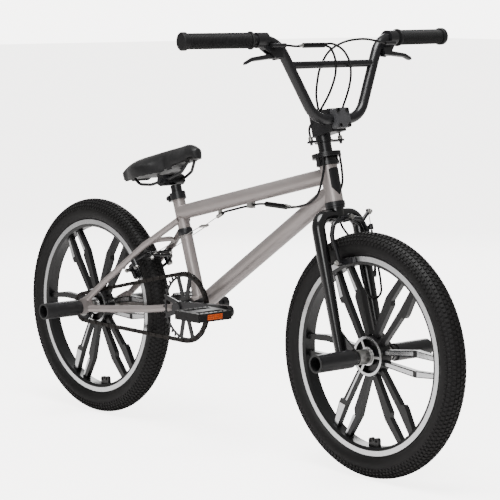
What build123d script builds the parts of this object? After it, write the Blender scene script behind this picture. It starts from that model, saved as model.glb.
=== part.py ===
"""Freestyle BMX bike, 20 inch cast wheels, cable detangler, side-pull front brake and rear U-brake.

Millimetres. +X points forward, +Y to the rider's left and +Z up. The origin is on the ground, midway
between the two axles. The drive side is -Y. Each function returns the solids of one sub-part.
"""
from build123d import *
import math
import os

os.makedirs("parts", exist_ok=True)

# ---- overall sizes -------------------------------------------------------------------------------
WHEELBASE = 940.0
TYRE_RADIUS = 257.0
TYRE_SECTION = 28.0          # radius of the tyre's round section
HEAD_ANGLE = 75.0
FORK_OFFSET = 32.0
BAR_WIDTH = 742.0

# ---- clearances ----------------------------------------------------------------------------------
RUN = 0.05                   # radial gap of a shaft that turns or slides in its bore
GAP = 0.5                    # gap between two faces that turn past each other
SOFT_GAP = 0.3               # gap round a soft part

# ---- wheels --------------------------------------------------------------------------------------
RIM_RADIUS = 208.5
RIM_HALF = 17.0
RIM_WALL = 3.5
RIM_FLOOR = 194.0
RIM_INNER = 190.0
TYRE_WALL = 5.0
TUBE_WALL = 1.2
VALVE_RADIUS = 4.0
VALVE_TIP = 164.0            # distance of the valve's tip from the axle
SPOKE_HALF = 6.5
CASTING_HALF = 14.0          # half the thickness of the hub and of the rim's inner edge
HUB_FACE_RADIUS = 42.5
HUB_RING = 7.5               # width of the hub face's outer ring
HUB_RIB = 7.0
POCKET_DEPTH = 9.0
HUB_SHELL_RADIUS = 15.0
BEARING_RADIUS = 13.0
BEARING_WIDTH = 8.0
AXLE_RADIUS = 5.0
LOCKNUT_RADIUS = 8.5
LOCKNUT_WIDTH = 3.0
FRONT_SPACING = 100.0        # between the fork's dropouts
REAR_SPACING = 110.0
DROPOUT_THICKNESS = 5.0
REAR_WHEEL_TURN = 4.0
# pair direction, notch side of the spoke that is clockwise of it, and of the other one
SPOKE_PAIRS = [(0, "plain", "plain"), (56, "out", "in"), (117, "in", "out"),
               (180, "plain", "plain"), (243, "out", "in"), (304, "in", "out")]
KINK_RADIUS = 131.0
LUG_ANGLE = -87.0
FRONT_VALVE_ANGLE = 88.0
REAR_VALVE_ANGLE = 26.0

# ---- pegs ----------------------------------------------------------------------------------------
PEG_RADIUS = 19.0
PEG_LENGTH = 105.0
PEG_BORE = 15.0
PEG_FLOOR = 9.0
NUT_RADIUS = 9.5
NUT_WIDTH = 9.0

# ---- drive ---------------------------------------------------------------------------------------
PITCH = 12.7
LINKS = 88
RING_TEETH = 38
COG_TEETH = 16
BB_RISE = 42.0               # height of the crank axis over the axles
CHAIN_LINE = 45.0
ROLLER_RADIUS = 3.85
PIN_RADIUS = 1.8
TOOTH_WIDTH = 3.0
CRANK_LENGTH = 170.0
CRANK_TILT = 4.0             # the right crank points forward and a little up
CRANK_INNER = 56.0
CRANK_THICKNESS = 14.0
SPINDLE_RADIUS = 9.5
SHELL_RADIUS = 23.0
SHELL_BORE = 19.0
SHELL_HALF = 34.0
PEDAL_AXLE_RADIUS = 7.0
PEDAL_INNER = 86.0
PEDAL_OUTER = 180.0
PEDAL_LENGTH = 80.0
PEDAL_HEIGHT = 19.0
REFLECTOR_HALF = 22.0
REFLECTOR_RISE = 6.5

# ---- frame ---------------------------------------------------------------------------------------
SEAT_ANGLE = 71.5
SEAT_TUBE_RADIUS = 14.3
SEAT_TUBE_BORE = 12.8
SEAT_TUBE_TOP = 534.0
TOP_TUBE_RADIUS = 17.0
DOWN_TUBE_RADIUS = 19.0
TUBE_THICKNESS = 1.6
HEAD_TUBE_RADIUS = 19.0
HEAD_TUBE_BORE = 16.0
HEAD_LOW = 330.0             # along the steering axis, from the foot of the fork offset
HEAD_HIGH = 408.0
CHAINSTAY_RADIUS = 8.5
SEATSTAY_RADIUS = 7.5
STAY_JOINT_HEIGHT = 489.0

# ---- steering ------------------------------------------------------------------------------------
STEERER_RADIUS = 12.7
STEERER_BORE = 9.8
STEERER_TOP = 520.0
LEG_SIDE = 58.0
CROWN_LEVEL = 302.0
CROWN_BEND = 28.0
LEG_TOP_RADIUS = 14.0
LEG_WALL = 2.2
LEG_FOOT_RADIUS = 10.5
LEG_FOOT = 18.0
LEG_TAPER_TOP = 226.0
CUP_RADIUS = 21.5
CUP_HEIGHT = 9.0
SPACER_RADIUS = 14.6
GYRO_RADIUS = 31.0
GYRO_PLATE = 3.0
GYRO_ARM = 42.0
STEM_LOW = 471.0
STEM_HALF = 20.0
STEM_REACH = 53.0
STEM_LEVEL = 496.0
BAR_RADIUS = 11.1
CROSSBAR_RADIUS = 7.9
CROSSBAR_HEIGHT = 855.0
BAR_TOP_HEIGHT = 907.0
BAR_KNEE_LOW = 63.0
BAR_KNEE_HIGH = 146.0
BAR_LEAN = 28.0              # how far the bar's upper knees lie behind its clamp
BAR_SWEEP = 32.0
GRIP_LENGTH = 168.0
GRIP_RADIUS = 16.5
GRIP_END_RADIUS = 19.0
LEVER_SIDE = 183.0

# ---- saddle --------------------------------------------------------------------------------------
POST_RADIUS = 12.7
POST_TOP = 566.0
SADDLE_ANGLE = 16.0
SADDLE_NOSE_X = -93.0
SADDLE_LENGTH = 238.0
SADDLE_WIDTH = 136.0
RAIL_RADIUS = 3.5
RAIL_SIDE = 22.0
SADDLE_CROWN = 16.0          # how far the padding rises over the saddle's base line
SADDLE_SKIRT = 32.0          # how far its sides hang below that line

# ---- cables --------------------------------------------------------------------------------------
HOUSING_RADIUS = 2.5
WIRE_RADIUS = 0.9

AXLE_Z = TYRE_RADIUS
FRONT_X = WHEELBASE / 2
REAR_X = -WHEELBASE / 2


# ---- helpers -------------------------------------------------------------------------------------
def rod(start, end, radius):
    """A round bar from start to end."""
    run = Vector(end) - Vector(start)
    bar = Cylinder(radius, run.length, align=(Align.CENTER, Align.CENTER, Align.MIN))
    return Plane(origin=start, z_dir=run.normalized()) * bar


def taper(start, end, start_radius, end_radius):
    """A cone frustum from start to end."""
    run = Vector(end) - Vector(start)
    cone = Cone(start_radius, end_radius, run.length, align=(Align.CENTER, Align.CENTER, Align.MIN))
    return Plane(origin=start, z_dir=run.normalized()) * cone


def ring(start, end, outer, inner):
    """A round tube from start to end, with its bore cut right through."""
    reach = (Vector(end) - Vector(start)).normalized()
    return rod(start, end, outer) - rod(Vector(start) - reach, Vector(end) + reach, inner)


def hexagon(start, end, corner_radius):
    """A hexagonal bar from start to end."""
    run = Vector(end) - Vector(start)
    return Plane(origin=start, z_dir=run.normalized()) * extrude(RegularPolygon(corner_radius, 6), run.length)


def bent(points, radii, radius, inner=0.0):
    """A round bar, or a tube with inner > 0, along straight runs joined by tangent arcs."""
    path = FilletPolyline(*[Vector(p) for p in points], radius=radii)
    section = Circle(radius) - Circle(inner) if inner else Circle(radius)
    return sweep(Plane(origin=path @ 0, z_dir=path % 0) * section, path=path)


def block(x_span, y_span, z_span):
    """A box given by its two limits along each axis."""
    size = [span[1] - span[0] for span in (x_span, y_span, z_span)]
    middle = [(span[0] + span[1]) / 2 for span in (x_span, y_span, z_span)]
    return Pos(*middle) * Box(*size)


def side_plate(outline, y_span):
    """A plate with a flat outline drawn in X and Z, between two y values."""
    return extrude(Plane.XZ.offset(-y_span[1]) * (Sketch() + outline), y_span[1] - y_span[0])


def cord(points, name):
    """A cable along its hand-set points, with each arc as large as its two runs allow."""
    corners = [Vector(p) for p in points]
    radii = []
    for before, corner, after in zip(corners, corners[1:], corners[2:]):
        turn = math.radians((corner - before).get_angle(after - corner))
        shorter = min((corner - before).length, (after - corner).length)
        radii.append(0.45 * shorter / math.tan(turn / 2))
    print(name, "radii", [round(r) for r in radii])
    return bent(corners, radii, HOUSING_RADIUS)


# ---- places that several parts share -------------------------------------------------------------
HEAD_RAKE = math.radians(HEAD_ANGLE)
STEER_UP = Vector(-math.cos(HEAD_RAKE), 0, math.sin(HEAD_RAKE))
STEER_FORE = Vector(math.sin(HEAD_RAKE), 0, math.cos(HEAD_RAKE))
STEER_FOOT = Vector(FRONT_X, 0, AXLE_Z) - STEER_FORE * FORK_OFFSET
STEER = Plane(origin=STEER_FOOT, x_dir=STEER_FORE, z_dir=STEER_UP).location


def steer_point(fore, side, level):
    """A point given forward of the steering axis, to the left of it and up along it."""
    return STEER_FOOT + STEER_FORE * fore + Vector(0, side, 0) + STEER_UP * level


def chain_radius(teeth):
    return PITCH / (2 * math.sin(math.pi / teeth))


RING_PITCH = chain_radius(RING_TEETH)
COG_PITCH = chain_radius(COG_TEETH)


def chain_links(centres):
    """How many links a taut chain has over both sprockets at this distance between their centres."""
    lean = math.asin((RING_PITCH - COG_PITCH) / centres)
    straight = 2 * centres * math.cos(lean) / PITCH
    return straight + RING_TEETH * (0.5 + lean / math.pi) + COG_TEETH * (0.5 - lean / math.pi)


def sprocket_distance():
    """The distance between the sprockets' centres that takes a whole number of links."""
    low, high = 200.0, 600.0
    for _ in range(60):
        middle = (low + high) / 2
        low, high = (middle, high) if chain_links(middle) < LINKS else (low, middle)
    return low


STAY_LENGTH = sprocket_distance()
BB_X = REAR_X + math.sqrt(STAY_LENGTH ** 2 - BB_RISE ** 2)
BB_Z = AXLE_Z + BB_RISE
SEAT_LEAN = math.radians(SEAT_ANGLE)


def seat_point(height, behind=0.0):
    """A point on the seat tube's axis at a height, or square behind it."""
    x = BB_X - (height - BB_Z) / math.tan(SEAT_LEAN)
    return Vector(x - behind * math.sin(SEAT_LEAN), 0, height - behind * math.cos(SEAT_LEAN))


SEAT_UP = (seat_point(SEAT_TUBE_TOP) - seat_point(BB_Z)).normalized()
STAY_TOP = seat_point(STAY_JOINT_HEIGHT)
STAY_DIR = (STAY_TOP - Vector(REAR_X, 0, AXLE_Z)).normalized()
STAY = Plane(origin=(REAR_X, 0, AXLE_Z), x_dir=STAY_DIR, z_dir=STAY_DIR.cross(Vector(0, 1, 0))).location
STAY_REACH = (STAY_TOP - Vector(REAR_X, 0, AXLE_Z)).length


# ---- wheels, in their own frame: the axle is the Y axis ------------------------------------------
def rim_section():
    half = [(RIM_RADIUS, RIM_HALF), (RIM_RADIUS, RIM_HALF - RIM_WALL), (RIM_FLOOR + 4, RIM_HALF - RIM_WALL),
            (RIM_FLOOR, RIM_HALF - RIM_WALL - 4)]
    inside = [(RIM_INNER, CASTING_HALF), (RIM_INNER + 6, RIM_HALF)]
    points = half + [(r, -y) for r, y in reversed(half)] + [(r, -y) for r, y in reversed(inside)] + inside
    return make_face(Polyline(*points, close=True))


def spoke_outline(kind, side):
    """One spoke of a pair: along the pair's direction, and square to it on one side."""
    hub, rim = HUB_FACE_RADIUS - 2, RIM_INNER + 2
    if kind == "plain":
        points = [(hub, 6), (KINK_RADIUS, 14), (rim, 12), (rim, 23), (KINK_RADIUS, 28), (hub, 17)]
    elif kind == "out":
        notch = [(KINK_RADIUS + 7, 33), (KINK_RADIUS - 2, 32), (KINK_RADIUS - 5, 25)]
        points = [(hub, 6), (KINK_RADIUS + 4, 12), (rim, 12), (rim, 26)] + notch + [(hub, 17)]
    else:
        notch = [(KINK_RADIUS - 5, 12), (KINK_RADIUS + 3, 18)]
        points = [(hub, 6)] + notch + [(rim, 14), (rim, 27), (KINK_RADIUS, 34), (hub, 19)]
    return make_face(Polyline(*[(u, side * v) for u, v in points], close=True))


def spoke_faces():
    faces = []
    for angle, clockwise, other in SPOKE_PAIRS:
        faces.append(Rot(0, 0, angle) * spoke_outline(clockwise, -1))
        faces.append(Rot(0, 0, angle) * spoke_outline(other, 1))
    return faces


def hub_pockets():
    """The three deep pockets of one hub face, as a flat sketch."""
    outer = HUB_FACE_RADIUS - HUB_RING
    pockets = Circle(outer) - Circle(HUB_SHELL_RADIUS + 5)
    for angle in (0, 120, 240):
        pockets -= Rot(0, 0, angle) * Pos(HUB_FACE_RADIUS / 2, 0) * Rectangle(HUB_FACE_RADIUS, HUB_RIB)
    return pockets


def wheel_casting(valve_angle):
    casting = revolve(rim_section(), Axis.Y)
    for face in spoke_faces():
        casting += side_plate(face, (-SPOKE_HALF, SPOKE_HALF))
    casting += rod((0, -CASTING_HALF, 0), (0, CASTING_HALF, 0), HUB_FACE_RADIUS)
    for y_span in ((-CASTING_HALF, POCKET_DEPTH - CASTING_HALF), (CASTING_HALF - POCKET_DEPTH, CASTING_HALF)):
        casting -= side_plate(hub_pockets(), y_span)
    casting -= rod((0, -CASTING_HALF - 1, 0), (0, CASTING_HALF + 1, 0), HUB_SHELL_RADIUS)
    valve = math.radians(valve_angle)
    inner = Vector(math.cos(valve), 0, math.sin(valve)) * (RIM_INNER - 5)
    outer = Vector(math.cos(valve), 0, math.sin(valve)) * (RIM_FLOOR + 5)
    casting -= rod(inner, outer, VALVE_RADIUS + SOFT_GAP)
    return casting + rim_lug()


def rim_lug():
    """The small double eyelet on the rim's inner face."""
    lug = Pos(RIM_INNER - 5, 0) * Rectangle(14, 29)
    for side in (-8.3, 8.3):
        lug += Pos(RIM_INNER - 12, side) * Circle(6.5)
    for side in (-8.3, 8.3):
        lug -= Pos(RIM_INNER - 12, side) * Circle(3.4)
    return side_plate(Rot(0, 0, LUG_ANGLE) * lug, (-4, 4))


def tyre():
    centre = TYRE_RADIUS - TYRE_SECTION
    section = Pos(centre, 0) * Circle(TYRE_SECTION) - Pos(centre, 0) * Circle(TYRE_SECTION - TYRE_WALL)
    section -= Pos(RIM_RADIUS - 10, 0) * Rectangle(20, 2 * TYRE_SECTION)
    bead = RIM_HALF - RIM_WALL - 0.1
    for side in (-1, 1):
        section += Pos(RIM_RADIUS - 3.5, side * (bead - 1.8)) * Rectangle(9, 3.6)
    return revolve(section, Axis.Y)


def inner_tube(valve_angle):
    centre = TYRE_RADIUS - TYRE_SECTION
    outer = TYRE_SECTION - TYRE_WALL - 0.4
    narrow = RIM_HALF - RIM_WALL - 4.4
    section = Pos(centre, 0) * Circle(outer) - Pos(RIM_RADIUS - 8, 0) * Rectangle(20, 4 * narrow)
    section -= Pos(centre, 0) * Circle(outer - TUBE_WALL)
    section += Pos(RIM_RADIUS + 2 + TUBE_WALL / 2, 0) * Rectangle(TUBE_WALL, 2 * narrow + 7)
    valve = math.radians(valve_angle)
    out = Vector(math.cos(valve), 0, math.sin(valve))
    return revolve(section, Axis.Y) + rod(out * VALVE_TIP, out * (RIM_RADIUS + 2.5), VALVE_RADIUS)


def hub_shell(half, bearing_face):
    shell = ring((0, -half, 0), (0, half, 0), HUB_SHELL_RADIUS, AXLE_RADIUS + 4)
    for side in (-1, 1):
        seat = rod((0, side * (bearing_face - BEARING_WIDTH), 0), (0, side * (half + 1), 0), BEARING_RADIUS)
        shell -= seat
    return shell


def hub_bearings(bearing_face):
    start, end = bearing_face - BEARING_WIDTH, bearing_face
    return [ring((0, side * start, 0), (0, side * end, 0), BEARING_RADIUS, AXLE_RADIUS + RUN)
            for side in (-1, 1)]


def placed(shapes, x, turn):
    """Wheel parts moved from their own frame to their axle, turned about it."""
    shapes = shapes if isinstance(shapes, list) else [shapes]
    return [Pos(x, 0, AXLE_Z) * Rot(0, -turn, 0) * shape for shape in shapes]


def axle_with_locknuts(x, spacing):
    """A threaded axle with the locknut faces that the dropouts clamp."""
    end = spacing / 2 + DROPOUT_THICKNESS + PEG_FLOOR + NUT_WIDTH + 3
    axle = rod((x, -end, AXLE_Z), (x, end, AXLE_Z), AXLE_RADIUS)
    for side in (-1, 1):
        face = spacing / 2
        axle += rod((x, side * (face - LOCKNUT_WIDTH), AXLE_Z), (x, side * face, AXLE_Z), LOCKNUT_RADIUS)
    return axle


def axle_nuts(x, spacing):
    start = spacing / 2 + DROPOUT_THICKNESS + PEG_FLOOR
    nuts = []
    for side in (-1, 1):
        nut = hexagon((x, side * start, AXLE_Z), (x, side * (start + NUT_WIDTH), AXLE_Z), NUT_RADIUS)
        nuts.append(nut - rod((x, side * (start - 1), AXLE_Z), (x, side * (start + NUT_WIDTH + 1), AXLE_Z),
                              AXLE_RADIUS))
    return nuts


def peg(x, spacing, side):
    start = spacing / 2 + DROPOUT_THICKNESS
    end = start + PEG_LENGTH
    body = rod((x, side * (start + 8), AXLE_Z), (x, side * end, AXLE_Z), PEG_RADIUS)
    body += rod((x, side * start, AXLE_Z), (x, side * (start + 9), AXLE_Z), PEG_RADIUS - 3)
    body -= rod((x, side * (start + PEG_FLOOR), AXLE_Z), (x, side * (end + 1), AXLE_Z), PEG_BORE)
    return body - rod((x, side * (start - 1), AXLE_Z), (x, side * (end + 1), AXLE_Z), AXLE_RADIUS)


# ---- frame ---------------------------------------------------------------------------------------
def head_tube():
    return STEER * ring((0, 0, HEAD_LOW), (0, 0, HEAD_HIGH), HEAD_TUBE_RADIUS, HEAD_TUBE_BORE)


def head_solid():
    return STEER * rod((0, 0, HEAD_LOW - 30), (0, 0, HEAD_HIGH + 30), HEAD_TUBE_RADIUS)


def seat_tube():
    lower, upper = seat_point(BB_Z), seat_point(SEAT_TUBE_TOP)
    tube = ring(lower, upper, SEAT_TUBE_RADIUS, SEAT_TUBE_BORE)
    return tube - bb_solid()


def seat_solid():
    return rod(seat_point(BB_Z), seat_point(SEAT_TUBE_TOP + 20), SEAT_TUBE_RADIUS)


def bb_solid():
    return rod((BB_X, -SHELL_HALF, BB_Z), (BB_X, SHELL_HALF, BB_Z), SHELL_RADIUS)


def bb_shell():
    return ring((BB_X, -SHELL_HALF, BB_Z), (BB_X, SHELL_HALF, BB_Z), SHELL_RADIUS, SHELL_BORE)


TOP_TUBE_HEAD = steer_point(0, 0, HEAD_HIGH - 20)
TOP_TUBE_SEAT = seat_point(SEAT_TUBE_TOP - 29)
DOWN_TUBE_HEAD = steer_point(0, 0, HEAD_LOW + 22)


def top_tube_solid():
    return rod(TOP_TUBE_SEAT, TOP_TUBE_HEAD, TOP_TUBE_RADIUS)


def top_tube():
    tube = ring(TOP_TUBE_SEAT, TOP_TUBE_HEAD, TOP_TUBE_RADIUS, TOP_TUBE_RADIUS - TUBE_THICKNESS)
    return tube - head_solid() - seat_solid()


def down_tube():
    tube = ring((BB_X, 0, BB_Z), DOWN_TUBE_HEAD, DOWN_TUBE_RADIUS, DOWN_TUBE_RADIUS - TUBE_THICKNESS)
    tube -= head_solid() + STEER * rod((0, 0, HEAD_LOW - 30), (0, 0, HEAD_LOW), CUP_RADIUS)
    return tube - bb_solid() - seat_solid()


def dropout(side):
    start = side * REAR_SPACING / 2
    span = (start, start + DROPOUT_THICKNESS) if side > 0 else (start - DROPOUT_THICKNESS, start)
    outline = make_hull(
        (Pos(REAR_X, AXLE_Z) * Circle(17)).edges()
        + (Pos(REAR_X + 44, AXLE_Z + 4) * Circle(8)).edges()
        + (Pos(REAR_X + 34, AXLE_Z + 26) * Circle(8)).edges())
    outline -= Pos(REAR_X - 13, AXLE_Z) * Rectangle(26, 2 * AXLE_RADIUS)
    outline -= Pos(REAR_X, AXLE_Z) * Circle(AXLE_RADIUS)
    return side_plate(outline, span)


def dropouts():
    return [dropout(-1), dropout(1)]


def seatstay(side):
    points = [(44, side * 61, 0), (120, side * 59, 0), (285, side * 45, 0), (STAY_REACH, side * 13, 0)]
    stay = STAY * bent(points, [200, 90], SEATSTAY_RADIUS, SEATSTAY_RADIUS - TUBE_THICKNESS)
    return stay - seat_solid() - dropout(side)


def seatstay_bridge():
    points = [(296, -41, 0), (308, -20, 0), (308, 20, 0), (296, 41, 0)]
    bridge = STAY * bent(points, [25, 25], 6)
    return bridge - seatstay(-1) - seatstay(1)


def brake_post(side):
    """The stud on a seat stay that a rear brake arm turns on, with the bolt head that holds it."""
    pin = rod((REAR_PIVOT, side * REAR_PIVOT_SIDE, -3), (REAR_PIVOT, side * REAR_PIVOT_SIDE, -29), POST_PIN)
    pin += rod((REAR_PIVOT, side * REAR_PIVOT_SIDE, -27), (REAR_PIVOT, side * REAR_PIVOT_SIDE, -30), 7)
    return STAY * pin - seatstay(side)


def chainstay(side):
    points = [(REAR_X + 44, side * 61, AXLE_Z + 3), (REAR_X + 118, side * 52, AXLE_Z + 9),
              (REAR_X + 229, side * 43, AXLE_Z + 20), (REAR_X + 308, side * 28, AXLE_Z + 31),
              (BB_X, side * 24, BB_Z)]
    stay = bent(points, [220, 220, 160], CHAINSTAY_RADIUS, CHAINSTAY_RADIUS - TUBE_THICKNESS)
    return stay - bb_solid() - dropout(side) - seat_solid()


def seat_clamp():
    low, high = seat_point(SEAT_TUBE_TOP), seat_point(SEAT_TUBE_TOP + 16)
    ears = Plane(origin=(low + high) / 2, z_dir=SEAT_UP, x_dir=(0, 1, 0)) * Pos(0, 20, 0) * Box(18, 14, 15)
    clamp = rod(low, high, SEAT_TUBE_RADIUS + 4) + ears
    slot = Plane(origin=(low + high) / 2, z_dir=SEAT_UP, x_dir=(0, 1, 0)) * Pos(0, 18, 0) * Box(3, 30, 40)
    return clamp - rod(low - SEAT_UP, high + SEAT_UP, POST_RADIUS + RUN) - slot - seat_clamp_bolt()


def seat_clamp_bolt():
    middle = (seat_point(SEAT_TUBE_TOP) + seat_point(SEAT_TUBE_TOP + 16)) / 2
    ears = Plane(origin=middle, z_dir=SEAT_UP, x_dir=(0, 1, 0))
    place = (ears * Pos(0, 22, 0)).position
    bolt = rod(place - Vector(0, 13, 0), place + Vector(0, 13, 0), 3)
    return bolt + rod(place - Vector(0, 14, 0), place - Vector(0, 9, 0), 5)


def headset_cups():
    lower = STEER * ring((0, 0, HEAD_LOW - CUP_HEIGHT), (0, 0, HEAD_LOW), CUP_RADIUS, STEERER_RADIUS + 3.4)
    upper = STEER * ring((0, 0, HEAD_HIGH), (0, 0, HEAD_HIGH + CUP_HEIGHT), CUP_RADIUS, STEERER_RADIUS + 3.4)
    return [lower, upper]


def headset_bearings():
    low, high = HEAD_LOW - CUP_HEIGHT, HEAD_HIGH + CUP_HEIGHT
    outer, inner = STEERER_RADIUS + 3.4, STEERER_RADIUS + RUN
    return [STEER * ring((0, 0, low), (0, 0, low + 6), outer, inner),
            STEER * ring((0, 0, high - 6), (0, 0, high), outer, inner)]


def bb_bearings():
    return [ring((BB_X, side * (SHELL_HALF - 8), BB_Z), (BB_X, side * SHELL_HALF, BB_Z), SHELL_BORE,
                 SPINDLE_RADIUS + RUN) for side in (-1, 1)]


# ---- cranks, chain and pedals --------------------------------------------------------------------
def chain_point(links):
    """Position of a chain pin, a number of links along the loop, and the chain's direction there."""
    lean = math.asin((RING_PITCH - COG_PITCH) / STAY_LENGTH)
    rise = math.atan2(BB_RISE, BB_X - REAR_X)
    straight = STAY_LENGTH * math.cos(lean) / PITCH
    ring_arc = RING_TEETH * (0.5 + lean / math.pi)
    cog_arc = COG_TEETH * (0.5 - lean / math.pi)
    links %= straight * 2 + ring_arc + cog_arc
    upper_out = rise + lean + math.pi / 2
    lower_out = rise - lean - math.pi / 2
    if links < straight:
        along = links / straight
        start = polar(REAR_X, AXLE_Z, COG_PITCH, upper_out)
        end = polar(BB_X, BB_Z, RING_PITCH, upper_out)
        return mix(start, end, along), upper_out - math.pi / 2
    links -= straight
    if links < ring_arc:
        angle = upper_out - links * 2 * math.pi / RING_TEETH
        return polar(BB_X, BB_Z, RING_PITCH, angle), angle - math.pi / 2
    links -= ring_arc
    if links < straight:
        start = polar(BB_X, BB_Z, RING_PITCH, lower_out)
        end = polar(REAR_X, AXLE_Z, COG_PITCH, lower_out)
        return mix(start, end, links / straight), lower_out - math.pi / 2
    links -= straight
    angle = lower_out - links * 2 * math.pi / COG_TEETH
    return polar(REAR_X, AXLE_Z, COG_PITCH, angle), angle - math.pi / 2


def polar(x, z, radius, angle):
    return Vector(x + radius * math.cos(angle), -CHAIN_LINE, z + radius * math.sin(angle))


def mix(start, end, along):
    return start * (1 - along) + end * along


def link_plates(inner, outer):
    """The two plates of one link, pin to pin along X."""
    outline = make_hull((Circle(4.1)).edges() + (Pos(PITCH, 0) * Circle(4.1)).edges())
    return [side_plate(outline, (inner, outer)), side_plate(outline, (-outer, -inner))]


def inner_link():
    link = link_plates(2.0, 3.0)
    body = link[0] + link[1]
    for x in (0, PITCH):
        body += rod((x, -2.0, 0), (x, 2.0, 0), ROLLER_RADIUS)
    for x in (0, PITCH):
        body -= rod((x, -4, 0), (x, 4, 0), PIN_RADIUS + RUN)
    return body


def outer_link():
    link = link_plates(3.05, 4.0)
    body = link[0] + link[1]
    for x in (0, PITCH):
        body += rod((x, -4.4, 0), (x, 4.4, 0), PIN_RADIUS)
    return body


def chain():
    """All the links, taut over both sprockets."""
    kinds = [inner_link(), outer_link()]
    links = []
    for index in range(LINKS):
        start, _ = chain_point(index)
        end, _ = chain_point(index + 1)
        turn = math.degrees(math.atan2(end.Z - start.Z, end.X - start.X))
        links.append(Pos(*start) * Rot(0, -turn, 0) * kinds[index % 2])
    return links


def sprocket(x, z, teeth, near_angle):
    """A toothed disc's flat outline, with one tooth gap at near_angle."""
    pitch = chain_radius(teeth)
    face = Circle(pitch + 2.6)
    for index in range(teeth):
        angle = near_angle + index * 2 * math.pi / teeth
        for reach, gap in ((pitch, ROLLER_RADIUS + 0.25), (pitch + 3.4, ROLLER_RADIUS + 1.35)):
            face -= Pos(reach * math.cos(angle), reach * math.sin(angle)) * Circle(gap)
    return Pos(x, z) * face


def pin_angle(x, z, first_link):
    """Direction from a sprocket's centre to the first pin that lies on it."""
    place, _ = chain_point(math.ceil(first_link))
    return math.atan2(place.Z - z, place.X - x)


def chainring():
    lean = math.asin((RING_PITCH - COG_PITCH) / STAY_LENGTH)
    straight = STAY_LENGTH * math.cos(lean) / PITCH
    face = sprocket(BB_X, BB_Z, RING_TEETH, pin_angle(BB_X, BB_Z, straight))
    web = Circle(RING_PITCH - 8) - Circle(26)
    for angle in (0, 90, 180, 270):
        web -= Rot(0, 0, angle + CRANK_TILT) * v_arm()
    face -= Pos(BB_X, BB_Z) * web
    half = TOOTH_WIDTH / 2
    plate = side_plate(face, (-CHAIN_LINE - half, -CHAIN_LINE + half))
    return plate - rod((BB_X, -60, BB_Z), (BB_X, 0, BB_Z), SPINDLE_RADIUS) - chainring_bolt()


def v_arm():
    """Two bars that spread from the middle of the chainring to its rim."""
    arms = None
    for side in (-1, 1):
        bar = Rot(0, 0, side * 17) * Pos(RING_PITCH / 2, 0) * Rectangle(RING_PITCH, 11)
        arms = bar if arms is None else arms + bar
    return arms


def crank_direction(side):
    tilt = math.radians(CRANK_TILT)
    flip = 1 if side < 0 else -1
    return Vector(math.cos(tilt) * flip, 0, math.sin(tilt) * flip)


def chainring_bolt():
    """The bolt that drives the chainring from the right crank arm."""
    place = Vector(BB_X, 0, BB_Z) + crank_direction(-1) * 20
    return rod(place - Vector(0, CRANK_INNER + 4, 0), place - Vector(0, CHAIN_LINE - 4, 0), 4)


def crank_arm(side):
    hub = Circle(16)
    end = Pos(CRANK_LENGTH, 0) * Circle(13)
    outline = make_hull(hub.edges() + end.edges())
    turn = CRANK_TILT if side < 0 else CRANK_TILT + 180
    span = (CRANK_INNER, CRANK_INNER + CRANK_THICKNESS)
    span = span if side > 0 else (-span[1], -span[0])
    arm = side_plate(Pos(BB_X, BB_Z) * Rot(0, 0, turn) * outline, span)
    inner = side * (SHELL_HALF + 2)
    spacer_end = CHAIN_LINE - TOOTH_WIDTH / 2 if side < 0 else CRANK_INNER
    arm_end = side * CRANK_INNER
    boss = rod((BB_X, side * (CHAIN_LINE + TOOTH_WIDTH / 2), BB_Z), (BB_X, arm_end, BB_Z), 14.5)
    arm = arm + boss if side < 0 else arm
    arm += rod((BB_X, inner, BB_Z), (BB_X, side * spacer_end, BB_Z), 13)
    arm -= rod((BB_X, side * (SHELL_HALF - 5), BB_Z), (BB_X, side * 80, BB_Z), SPINDLE_RADIUS)
    place = Vector(BB_X, 0, BB_Z) + crank_direction(side) * CRANK_LENGTH
    arm -= rod(place + Vector(0, side * 40, 0), place + Vector(0, side * 80, 0), PEDAL_AXLE_RADIUS)
    return arm - chainring_bolt() if side < 0 else arm


def spindle():
    end = CRANK_INNER + CRANK_THICKNESS - 2
    return rod((BB_X, -end, BB_Z), (BB_X, end, BB_Z), SPINDLE_RADIUS)


def crank_caps():
    face = CRANK_INNER + CRANK_THICKNESS
    caps = []
    for side in (-1, 1):
        cap = rod((BB_X, side * face, BB_Z), (BB_X, side * (face + 4), BB_Z), 14)
        caps.append(cap + rod((BB_X, side * (face - 2), BB_Z), (BB_X, side * face, BB_Z), SPINDLE_RADIUS))
    return caps


def pedal_centre(side):
    return Vector(BB_X, 0, BB_Z) + crank_direction(side) * CRANK_LENGTH


def pedal_spindle(side):
    place = pedal_centre(side)
    inner = place + Vector(0, side * CRANK_INNER, 0)
    outer = place + Vector(0, side * (PEDAL_OUTER - 12), 0)
    flange = place + Vector(0, side * (CRANK_INNER + CRANK_THICKNESS), 0)
    return rod(inner, outer, PEDAL_AXLE_RADIUS) + rod(flange, flange + Vector(0, side * 3, 0), 9)


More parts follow.
